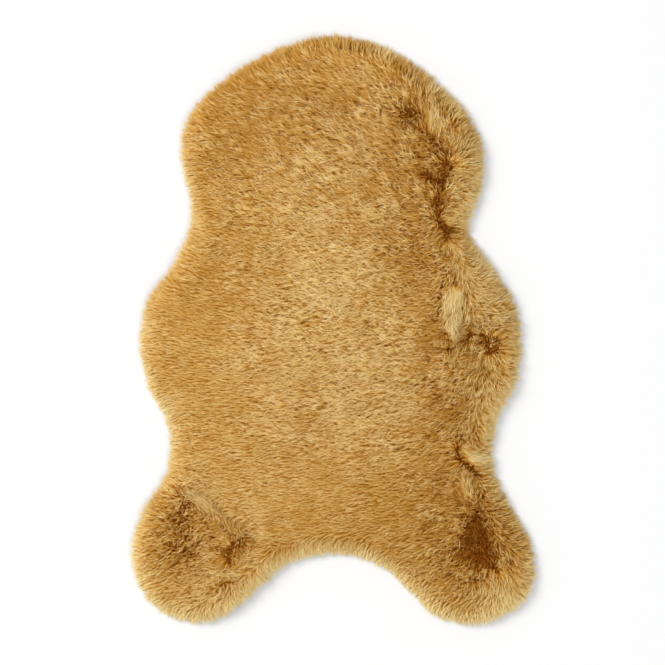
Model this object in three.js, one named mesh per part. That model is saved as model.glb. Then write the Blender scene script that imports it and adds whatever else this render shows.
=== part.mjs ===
// A sheepskin-shaped pile rug, laid flat on the floor with its head end toward +Y.
// Units are millimetres and +Z is up. The origin lies on the floor under the middle of the
// rug's box. The rug is one piece: a lumpy slab of pile with a flat underside, and separate
// locks of pile all round its rim that lie out level on the floor.
import * as THREE from "three";

// Overall size, measured over the tips of the locks
const RUG_WIDTH = 550;
const RUG_LENGTH = 800;

// The slab of pile, whose rim lies a little inside the pile's outer edge
const PILE_HEIGHT = 25;
const RIM_HEIGHT = 12;
const RIM_INSET = 10;

// The locks round the rim, and how one narrows between its root and its tip
const LOCK_COUNT = 288;
const LOCK_REACH = 12;
const LOCK_WAIST_AT = 0.55;
const LOCK_WAIST_WIDTH = 0.66;
const LOCK_WAIST_HEIGHT = 0.62;

// How much the locks differ, as shares of their reach, their height and the gap between them
const REACH_SPREAD = 0.22;
const HEIGHT_SPREAD = 0.2;
const SWEEP_SPREAD = 0.15;

// The outer edge of the pile seen from above, anticlockwise from the right flank
const EDGE = [
  { place: "right flank", x: 255, y: -8 },
  { place: "right flank, upper", x: 245, y: 40 },
  { place: "right of the neck, lower", x: 215, y: 88 },
  { place: "right of the neck", x: 185, y: 134 },
  { place: "right of the head, lower", x: 200, y: 190 },
  { place: "right of the head", x: 204, y: 240 },
  { place: "right of the head, upper", x: 185, y: 288 },
  { place: "right of the crown", x: 141, y: 336 },
  { place: "crown, right", x: 75, y: 383 },
  { place: "crown", x: 0, y: 400 },
  { place: "crown, left", x: -70, y: 384 },
  { place: "left of the crown", x: -155, y: 335 },
  { place: "left of the head, upper", x: -197, y: 288 },
  { place: "left of the head", x: -206, y: 238 },
  { place: "left of the neck", x: -192, y: 152 },
  { place: "left of the neck, lower", x: -216, y: 91 },
  { place: "left flank, upper", x: -251, y: 42 },
  { place: "left flank", x: -262, y: -14 },
  { place: "left flank, lower", x: -251, y: -76 },
  { place: "left waist", x: -223, y: -132 },
  { place: "left waist, lower", x: -225, y: -190 },
  { place: "left thigh", x: -259, y: -246 },
  { place: "left leg", x: -273, y: -302 },
  { place: "left foot, outer", x: -258, y: -356 },
  { place: "left foot, outer heel", x: -226, y: -386 },
  { place: "left foot", x: -184, y: -397 },
  { place: "left foot, inner heel", x: -142, y: -384 },
  { place: "left foot, inner", x: -102, y: -352 },
  { place: "bay, left", x: -62, y: -317 },
  { place: "bay", x: 2, y: -304 },
  { place: "bay, right", x: 60, y: -317 },
  { place: "right foot, inner", x: 102, y: -352 },
  { place: "right foot, inner heel", x: 136, y: -386 },
  { place: "right foot", x: 188, y: -399 },
  { place: "right foot, outer heel", x: 234, y: -386 },
  { place: "right foot, outer", x: 268, y: -355 },
  { place: "right leg", x: 271, y: -296 },
  { place: "right thigh", x: 237, y: -232 },
  { place: "right waist, lower", x: 216, y: -180 },
  { place: "right waist", x: 223, y: -122 },
  { place: "right flank, lower", x: 249, y: -70 },
];

// The rounded shoulder of the pile, ring by ring: how far in from the rim it lies, what share
// of the pile's height it has, and whether it keeps only every second point
const SHOULDER_RINGS = [
  { inset: 4, share: 0.66, thinned: false },
  { inset: 10, share: 0.84, thinned: true },
  { inset: 18, share: 0.95, thinned: false },
  { inset: 28, share: 1, thinned: false },
];

// The rings across the top, as shares of the way from the shoulder to the middle
const TOP_RINGS = [
  { inward: 0.05, thinned: false },
  { inward: 0.11, thinned: false },
  { inward: 0.18, thinned: false },
  { inward: 0.26, thinned: false },
  { inward: 0.35, thinned: false },
  { inward: 0.45, thinned: false },
  { inward: 0.56, thinned: false },
  { inward: 0.67, thinned: false },
  { inward: 0.78, thinned: true },
  { inward: 0.89, thinned: true },
];
const MIDDLE = new THREE.Vector3(0, -60, 0);

// Partings and dents where the pile falls open, and ridges where it closes up
const FOLDS = [
  { place: "head parting, upper", x1: 96, y1: 300, x2: 112, y2: 284, rise: -4, reach: 20 },
  { place: "head parting, middle", x1: 138, y1: 262, x2: 156, y2: 222, rise: -6, reach: 18 },
  { place: "head parting, lower", x1: 156, y1: 222, x2: 144, y2: 172, rise: -6, reach: 16 },
  { place: "neck parting", x1: 144, y1: 172, x2: 154, y2: 132, rise: -5, reach: 16 },
  { place: "flank ridge, upper", x1: 170, y1: 112, x2: 165, y2: 50, rise: 3, reach: 14 },
  { place: "flank ridge, lower", x1: 165, y1: 50, x2: 156, y2: -2, rise: 3, reach: 14 },
  { place: "flank dent", x1: 206, y1: -8, x2: 214, y2: -22, rise: -6, reach: 20 },
  { place: "waist parting", x1: 172, y1: -172, x2: 186, y2: -188, rise: -4, reach: 12 },
  { place: "right leg dent", x1: 196, y1: -256, x2: 194, y2: -302, rise: -7, reach: 22 },
  { place: "left leg dent, outer", x1: -206, y1: -254, x2: -218, y2: -292, rise: -5, reach: 20 },
  { place: "left leg dent, inner", x1: -132, y1: -298, x2: -142, y2: -310, rise: -4, reach: 18 },
  { place: "left leg ridge", x1: -198, y1: -222, x2: -150, y2: -268, rise: 3, reach: 16 },
];

// The soft swells of the pile: crest to crest, the way they run, and how high they stand
const SWELLS = [
  { length: 230, heading: 20, shift: 0.1, rise: 1.2 },
  { length: 170, heading: 75, shift: 0.45, rise: 1.1 },
  { length: 118, heading: 130, shift: 0.7, rise: 1 },
  { length: 92, heading: 48, shift: 0.3, rise: 0.8 },
];

/** A share from 0 to 1 that looks random, but is the same for the same number each time. */
function scatter(number) {
  const wave = Math.sin(number * 12.9898 + 4.1414) * 43758.5453;
  return wave - Math.floor(wave);
}

/** The same, from -1 to 1. */
function spread(number) {
  return scatter(number) * 2 - 1;
}

/** The rim of the slab as evenly spaced places, each with its outward direction. */
function rimPlaces() {
  const points = EDGE.map(({ x, y }) => new THREE.Vector3(x, y, 0));
  const curve = new THREE.CatmullRomCurve3(points, true, "centripetal");
  curve.arcLengthDivisions = 1000;
  const places = [];
  for (let i = 0; i < LOCK_COUNT; i += 1) {
    const along = i / LOCK_COUNT;
    const edge = curve.getPointAt(along);
    const way = curve.getTangentAt(along);
    const out = new THREE.Vector3(way.y, -way.x, 0);
    places.push({ point: edge.addScaledVector(out, -RIM_INSET), out });
  }
  return places;
}

/** The distance from (x, y) to the line between a fold's two ends. */
function distanceToFold(x, y, fold) {
  const start = new THREE.Vector3(fold.x1, fold.y1, 0);
  const end = new THREE.Vector3(fold.x2, fold.y2, 0);
  const here = new THREE.Vector3(x, y, 0);
  const nearest = new THREE.Line3(start, end).closestPointToPoint(here, true, new THREE.Vector3());
  return here.distanceTo(nearest);
}

/** How far the top of the pile stands above or below its plain height at (x, y). */
function lumps(x, y) {
  let rise = 0;
  for (const swell of SWELLS) {
    const heading = THREE.MathUtils.degToRad(swell.heading);
    const along = (x * Math.cos(heading) + y * Math.sin(heading)) / swell.length;
    rise += swell.rise * Math.sin(2 * Math.PI * (along + swell.shift));
  }
  for (const fold of FOLDS) {
    const away = distanceToFold(x, y, fold) / fold.reach;
    rise += fold.rise * Math.exp(-away * away);
  }
  return rise;
}

/** A point on the top of the pile at (x, y), where the slab has a share of its full height. */
function onPile(x, y, share) {
  return new THREE.Vector3(x, y, share * (PILE_HEIGHT + lumps(x, y)));
}

/** Gathers points and triangles, which all face out of the solid. */
class SolidBuilder {
  constructor() {
    this.points = [];
    this.triangles = [];
  }

  /** Adds one point and returns its number. */
  point(position) {
    this.points.push(position);
    return this.points.length - 1;
  }

  /** Adds a closed ring of points and returns their numbers. */
  ring(positions) {
    return positions.map((position) => this.point(position));
  }

  triangle(a, b, c) {
    this.triangles.push(a, b, c);
  }

  /** Adds a flat or bent four-sided face, its corners anticlockwise seen from outside. */
  quad(a, b, c, d) {
    this.triangle(a, b, c);
    this.triangle(a, c, d);
  }

  /** Joins a ring to one inside it that has as many points, or half as many. */
  band(outer, inner) {
    const thinned = inner.length < outer.length;
    for (let i = 0; i < inner.length; i += 1) {
      const next = (i + 1) % inner.length;
      if (thinned) {
        const after = (2 * i + 2) % outer.length;
        this.triangle(outer[2 * i], outer[2 * i + 1], inner[i]);
        this.triangle(outer[2 * i + 1], inner[next], inner[i]);
        this.triangle(outer[2 * i + 1], outer[after], inner[next]);
      } else {
        this.quad(outer[i], outer[next], inner[next], inner[i]);
      }
    }
  }

  /** Joins a ring to one point, which lies to the left of each step along the ring. */
  fan(ring, middle) {
    for (let i = 0; i < ring.length; i += 1) {
      this.triangle(ring[i], ring[(i + 1) % ring.length], middle);
    }
  }

  /** The finished solid in the rug's full size, centred on the origin and on the floor. */
  geometry() {
    const box = new THREE.Box3().setFromPoints(this.points);
    const size = box.getSize(new THREE.Vector3());
    const middle = box.getCenter(new THREE.Vector3());
    const geometry = new THREE.BufferGeometry().setFromPoints(this.points);
    geometry.setIndex(this.triangles);
    geometry.translate(-middle.x, -middle.y, -box.min.z);
    geometry.scale(RUG_WIDTH / size.x, RUG_LENGTH / size.y, 1);
    geometry.computeVertexNormals();
    return geometry;
  }
}

/** Adds one four-sided lock on a patch of the rim, with its lower side level on the floor. */
function addLock(solid, corners, out, number) {
  const [left, right, , upperLeft] = corners.map((corner) => solid.points[corner]);
  const reach = LOCK_REACH * (1 + REACH_SPREAD * spread(number));
  const sweep = SWEEP_SPREAD * spread(number + LOCK_COUNT);
  const thickness = 1 + HEIGHT_SPREAD * spread(number + 2 * LOCK_COUNT);

  const across = right.clone().sub(left);
  const root = left.clone().add(right).multiplyScalar(0.5);
  const tip = root.clone().addScaledVector(out, reach).addScaledVector(across, sweep);
  const middle = root.clone().lerp(tip, LOCK_WAIST_AT);
  const half = across.clone().multiplyScalar(LOCK_WAIST_WIDTH / 2);
  const up = new THREE.Vector3(0, 0, upperLeft.z * LOCK_WAIST_HEIGHT * thickness);
  const waist = solid.ring([
    middle.clone().sub(half),
    middle.clone().add(half),
    middle.clone().add(half).add(up),
    middle.clone().sub(half).add(up),
  ]);
  solid.band(corners, waist);
  solid.fan(waist, solid.point(tip));
}

/** Adds the underside and the wall of locks, and returns the ring along the wall's top. */
function addRim(solid, places) {
  const foot = solid.ring(places.map(({ point }) => point.clone()));
  const top = solid.ring(places.map(({ point }) => point.clone().setZ(RIM_HEIGHT)));
  places.forEach(({ out }, i) => {
    const next = (i + 1) % LOCK_COUNT;
    const away = out.clone().add(places[next].out).normalize();
    addLock(solid, [foot[i], foot[next], top[next], top[i]], away, i);
  });
  solid.fan([...foot].reverse(), solid.point(MIDDLE.clone()));
  return top;
}

/** Every second item of a list. */
function thin(list) {
  return list.filter((item, i) => i % 2 === 0);
}

/** Adds one ring of the pile's surface above a list of places, and joins it to the last ring. */
function addPileRing(solid, outer, line, share) {
  const inner = solid.ring(line.map(({ x, y }) => onPile(x, y, share)));
  solid.band(outer, inner);
  return inner;
}

/** The pelt: the wall of locks, the rounded shoulder inside it, and the lumpy top. */
function peltGeometry() {
  const solid = new SolidBuilder();
  let places = rimPlaces();
  let ring = addRim(solid, places);
  let line = [];
  for (const { inset, share, thinned } of SHOULDER_RINGS) {
    places = thinned ? thin(places) : places;
    line = places.map(({ point, out }) => point.clone().addScaledVector(out, -inset));
    ring = addPileRing(solid, ring, line, share);
  }
  for (const { inward, thinned } of TOP_RINGS) {
    line = thinned ? thin(line) : line;
    const drawnIn = line.map((point) => point.clone().lerp(MIDDLE, inward));
    ring = addPileRing(solid, ring, drawnIn, 1);
  }
  solid.fan(ring, solid.point(onPile(MIDDLE.x, MIDDLE.y, 1)));
  return solid.geometry();
}

const pileMaterial = new THREE.MeshStandardMaterial({
  color: new THREE.Color("rgb(192, 146, 80)"),
  roughness: 0.95,
  metalness: 0,
});

const pelt = new THREE.Mesh(peltGeometry(), pileMaterial);
pelt.name = "pelt";

const rug = new THREE.Group();
rug.add(pelt);

export default rug;
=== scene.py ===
"""A sheepskin-shaped rug with a dense golden pile, laid flat on a pale floor.

The rug is dressed in three layers, as the real one is made: a thin ground cloth, the dense
underfur that stands on it, and the hairs that show. All sizes in the tables are millimetres
in the rug's own frame: +X to the right and +Y to the head end, seen from above.
"""

import logging
import math
from dataclasses import dataclass, field
from enum import Enum

import bmesh
import bpy
import numpy as np
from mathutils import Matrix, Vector
from mathutils.geometry import delaunay_2d_cdt


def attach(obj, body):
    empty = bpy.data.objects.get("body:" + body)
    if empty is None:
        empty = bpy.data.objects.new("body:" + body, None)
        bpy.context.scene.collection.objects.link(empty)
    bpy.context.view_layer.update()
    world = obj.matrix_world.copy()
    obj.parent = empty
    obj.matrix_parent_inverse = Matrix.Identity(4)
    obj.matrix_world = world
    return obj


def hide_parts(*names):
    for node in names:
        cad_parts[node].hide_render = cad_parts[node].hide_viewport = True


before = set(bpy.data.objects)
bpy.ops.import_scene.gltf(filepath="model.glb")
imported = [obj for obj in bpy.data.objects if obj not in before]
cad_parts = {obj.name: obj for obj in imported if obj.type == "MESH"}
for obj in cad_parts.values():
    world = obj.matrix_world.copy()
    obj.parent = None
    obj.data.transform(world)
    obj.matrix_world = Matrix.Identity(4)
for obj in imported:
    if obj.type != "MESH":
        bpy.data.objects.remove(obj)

log = logging.getLogger("rug")
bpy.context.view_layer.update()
NODE = "pelt"
BODY = "root"
MM = 0.001
UV_NAME = "OFBake"
TINY = 1e-9
NEAR = 1e-6
UP = (0.0, 0.0, 1.0)
LEVEL = (1.0, 1.0, 0.0)
HALF_GREY = (0.5, 0.5, 0.5)

Socket = bpy.types.NodeSocket
Colour = tuple[float, float, float]
Stops = tuple[tuple[float, Colour], ...]
Faces = list[tuple[int, ...]]


@dataclass(frozen=True)
class Place:
    """A named place on the outer edge of the pile."""

    place: str
    x: float
    y: float


EDGE = (
    Place("right flank", 255, -8),
    Place("right flank, upper", 245, 40),
    Place("right of the neck, lower", 215, 88),
    Place("right of the neck", 185, 134),
    Place("right of the head, lower", 200, 190),
    Place("right of the head", 204, 240),
    Place("right of the head, upper", 185, 288),
    Place("right of the crown", 141, 336),
    Place("crown, right", 75, 383),
    Place("crown", 0, 400),
    Place("crown, left", -70, 384),
    Place("left of the crown", -155, 335),
    Place("left of the head, upper", -197, 288),
    Place("left of the head", -206, 238),
    Place("left of the neck", -192, 152),
    Place("left of the neck, lower", -216, 91),
    Place("left flank, upper", -251, 42),
    Place("left flank", -262, -14),
    Place("left flank, lower", -251, -76),
    Place("left waist", -223, -132),
    Place("left waist, lower", -225, -190),
    Place("left thigh", -259, -246),
    Place("left leg", -273, -302),
    Place("left foot, outer", -258, -356),
    Place("left foot, outer heel", -226, -386),
    Place("left foot", -184, -397),
    Place("left foot, inner heel", -142, -384),
    Place("left foot, inner", -102, -352),
    Place("bay, left", -62, -317),
    Place("bay", 2, -304),
    Place("bay, right", 60, -317),
    Place("right foot, inner", 102, -352),
    Place("right foot, inner heel", 136, -386),
    Place("right foot", 188, -399),
    Place("right foot, outer heel", 234, -386),
    Place("right foot, outer", 268, -355),
    Place("right leg", 271, -296),
    Place("right thigh", 237, -232),
    Place("right waist, lower", 216, -180),
    Place("right waist", 223, -122),
    Place("right flank, lower", 249, -70),
)


@dataclass(frozen=True)
class Line:
    """A named short line on the rug, or a spot where its two ends meet."""

    place: str
    x1: float
    y1: float
    x2: float
    y2: float

    def away(self, points: np.ndarray) -> np.ndarray:
        """The vectors to plan points from their nearest places on the line.

        Args:
            points: plan points, one a row.

        Returns:
            A vector for each point, from the line to the point.
        """
        start = np.array([self.x1, self.y1], dtype=float)
        way = np.array([self.x2, self.y2], dtype=float) - start
        share = np.clip((points - start) @ way / max(way @ way, TINY), 0.0, 1.0)
        return points - (start + share[:, None] * way)

    def distance(self, points: np.ndarray) -> np.ndarray:
        """How far plan points lie from the line."""
        return np.linalg.norm(self.away(points), axis=1)

    def felt(self, points: np.ndarray, reach: float) -> np.ndarray:
        """How strongly the line is felt at plan points.

        Args:
            points: plan points, one a row.
            reach: how far the line is felt.

        Returns:
            A share for each point, 1 on the line and fading softly away from it.
        """
        return np.exp(-((self.distance(points) / reach) ** 2))


@dataclass(frozen=True)
class Fold(Line):
    """A dent or ridge of the pile's top, along the line between its two ends."""

    rise: float
    reach: float


FOLDS = (
    Fold("head parting, upper", 96, 300, 112, 284, -4, 20),
    Fold("head parting, middle", 138, 262, 156, 222, -6, 18),
    Fold("head parting, lower", 156, 222, 144, 172, -4, 16),
    Fold("neck parting", 144, 172, 154, 132, -3, 16),
    Fold("head wedge", 128, 326, 134, 274, 5, 9),
    Fold("flank ridge", 170, 106, 176, 58, 3, 8),
    Fold("flank patch", 163, 50, 160, 6, 10, 11),
    Fold("waist tongue", 188, -172, 212, -177, 4, 8),
    Fold("thigh patch", 180, -200, 180, -222, 4, 9),
    Fold("flank dent", 206, -8, 214, -22, -6, 20),
    Fold("waist parting", 172, -172, 186, -188, -2, 12),
    Fold("right leg dent", 196, -256, 194, -302, -9, 22),
    Fold("left leg dent, outer", -206, -254, -218, -292, -5, 20),
    Fold("left leg dent, inner", -132, -298, -142, -310, -4, 18),
    Fold("left leg ridge, upper", -224, -205, -174, -231, 2, 8),
    Fold("left leg ridge", -174, -231, -126, -273, 3, 7),
)


@dataclass(frozen=True)
class Swell:
    """A soft wave of the pile's top: crest to crest, the way it runs, and its height."""

    length: float
    heading: float
    shift: float
    rise: float

    def rise_at(self, points: np.ndarray) -> np.ndarray:
        """The wave's height.

        Args:
            points: plan points, one a row.

        Returns:
            The height at each point, above or below zero.
        """
        heading = math.radians(self.heading)
        along = (points[:, 0] * math.cos(heading) + points[:, 1] * math.sin(heading)) / self.length
        return self.rise * np.sin(2 * math.pi * (along + self.shift))


SWELLS = (
    Swell(230, 20, 0.1, 1.2),
    Swell(170, 75, 0.45, 1.1),
    Swell(118, 130, 0.7, 1.0),
    Swell(92, 48, 0.3, 0.8),
)


@dataclass(frozen=True)
class Heading:
    """The way the pile is combed at a place: the angle of its tips, anticlockwise from +X."""

    place: str
    x: float
    y: float
    degrees: float


HEADINGS = (
    Heading("crown", 0, 340, 165),
    Heading("crown, left", -110, 300, 165),
    Heading("head, left", -150, 220, 168),
    Heading("head", -30, 230, 166),
    Heading("head, right", 60, 250, 166),
    Heading("crown, right", 90, 335, 150),
    Heading("neck, left", -130, 130, 172),
    Heading("neck", 0, 130, 174),
    Heading("neck, right", 100, 130, 178),
    Heading("back, left", -200, 0, 170),
    Heading("back", -60, 0, 176),
    Heading("back, right", 90, 0, 180),
    Heading("flank", 205, 50, -20),
    Heading("neck, far right", 195, 105, -10),
    Heading("head, far right", 185, 190, -5),
    Heading("flank, lower", 222, -110, -55),
    Heading("right leg", 150, -300, 184),
    Heading("right leg, outer", 232, -295, -40),
    Heading("by the head parting", 130, 200, 168),
    Heading("by the neck parting", 130, 100, 172),
    Heading("by the flank patch", 135, 45, 172),
    Heading("loin, far right", 140, -90, 190),
    Heading("loin, left", -150, -120, 176),
    Heading("loin", 0, -120, 180),
    Heading("loin, right", 110, -120, 178),
    Heading("rump, left", -110, -220, 176),
    Heading("rump", 20, -240, 180),
    Heading("rump, right", 120, -250, 182),
    Heading("left leg", -235, -310, 174),
    Heading("left foot", -180, -360, 186),
    Heading("right leg, inner", 110, -320, 186),
    Heading("right foot", 170, -370, 215),
)


class MarkKind(Enum):
    """How the pile lies about a mark."""

    OPEN = "the hairs fall away from it"
    ALONG = "the hairs lie along it, from its start to its end"


@dataclass(frozen=True)
class CombMark(Line):
    """A line or spot in the pile that the hairs fall away from or lie along."""

    kind: MarkKind
    reach: float
    core: float
    strength: float

    def push(self, points: np.ndarray, flat_lean: float) -> np.ndarray:
        """The lean that the mark gives to the pile.

        Args:
            points: plan points, one a row.
            flat_lean: the lean of hairs that lie along a mark.

        Returns:
            The lean as a plan vector for each point.
        """
        if self.kind is MarkKind.ALONG:
            way = np.array([self.x2 - self.x1, self.y2 - self.y1], dtype=float)
            return np.broadcast_to(flat_lean * way / np.linalg.norm(way), points.shape)
        away, distance = self.away(points), self.distance(points)
        outward = away / np.maximum(distance, NEAR)[:, None]
        return outward * np.minimum(distance / self.core, 1.0)[:, None]


OPEN = MarkKind.OPEN
ALONG = MarkKind.ALONG
COMB_MARKS = (
    CombMark("head spot", 94, 297, 110, 296, OPEN, 16, 14, 0.65),
    CombMark("head wedge", 135, 273, 129, 327, ALONG, 14, 5, 0.8),
    CombMark("head parting, upper", 124, 267, 158, 243, OPEN, 14, 9, 0.7),
    CombMark("head parting, middle", 155, 222, 146, 177, OPEN, 26, 8, 1.0),
    CombMark("head parting, lower", 143, 173, 143, 150, OPEN, 22, 7, 1.0),
    CombMark("neck parting", 143, 148, 155, 126, OPEN, 20, 8, 1.0),
    CombMark("branch", 124, 209, 141, 202, OPEN, 9, 5, 0.7),
    CombMark("flank ridge", 167, 109, 175, 55, ALONG, 11, 5, 0.7),
    CombMark("flank patch", 166, 62, 158, -6, ALONG, 17, 5, 0.9),
    CombMark("fork", 151, -5, 155, -16, OPEN, 9, 5, 0.7),
    CombMark("fork, foot", 146, -25, 158, -27, OPEN, 8, 5, 0.7),
    CombMark("flank whorl", 208, -13, 216, -17, OPEN, 20, 9, 0.95),
    CombMark("flank whorl, lower", 211, -28, 220, -28, OPEN, 14, 8, 0.9),
    CombMark("flank whorl, left", 181, -13, 186, -5, OPEN, 9, 6, 0.7),
    CombMark("waist parting, upper", 167, -160, 173, -176, OPEN, 14, 6, 0.95),
    CombMark("waist parting", 173, -176, 194, -194, OPEN, 14, 6, 0.95),
    CombMark("waist tongue", 177, -160, 192, -173, ALONG, 9, 5, 0.7),
    CombMark("waist tongue, tip", 192, -173, 214, -177, ALONG, 10, 5, 0.7),
    CombMark("thigh patch", 180, -226, 180, -201, ALONG, 13, 5, 0.8),
    CombMark("right leg whorl", 194, -252, 197, -301, OPEN, 32, 32, 0.65),
    CombMark("right leg spot", 215, -320, 222, -324, OPEN, 9, 5, 0.8),
    CombMark("right leg fold", 184, -338, 204, -338, OPEN, 8, 5, 0.7),
    CombMark("left leg whorl", -203, -237, -211, -292, OPEN, 28, 28, 0.5),
    CombMark("left leg spot", -141, -307, -122, -285, OPEN, 14, 7, 0.9),
    CombMark("left leg ridge, upper", -224, -205, -174, -231, ALONG, 10, 5, 0.7),
    CombMark("left leg ridge", -174, -231, -126, -273, ALONG, 10, 5, 0.7),
    CombMark("left foot fold", -160, -349, -140, -339, OPEN, 8, 5, 0.8),
)


@dataclass(frozen=True)
class Shade(Line):
    """A darker or paler place in the pile: above 0 for dark, below 0 for pale. The dark places are partly
    darker fibre and partly painted shade down in the partings and whorls; the pale places are partly paler
    hair and partly painted sheen where the hair lies lengthwise.
    """

    spread: float
    depth: float


# Dark rows: darker fibre together with painted shade in partings, whorls and creases. Pale rows: paler hair
# together with painted sheen where the hair lies lengthwise.
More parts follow.
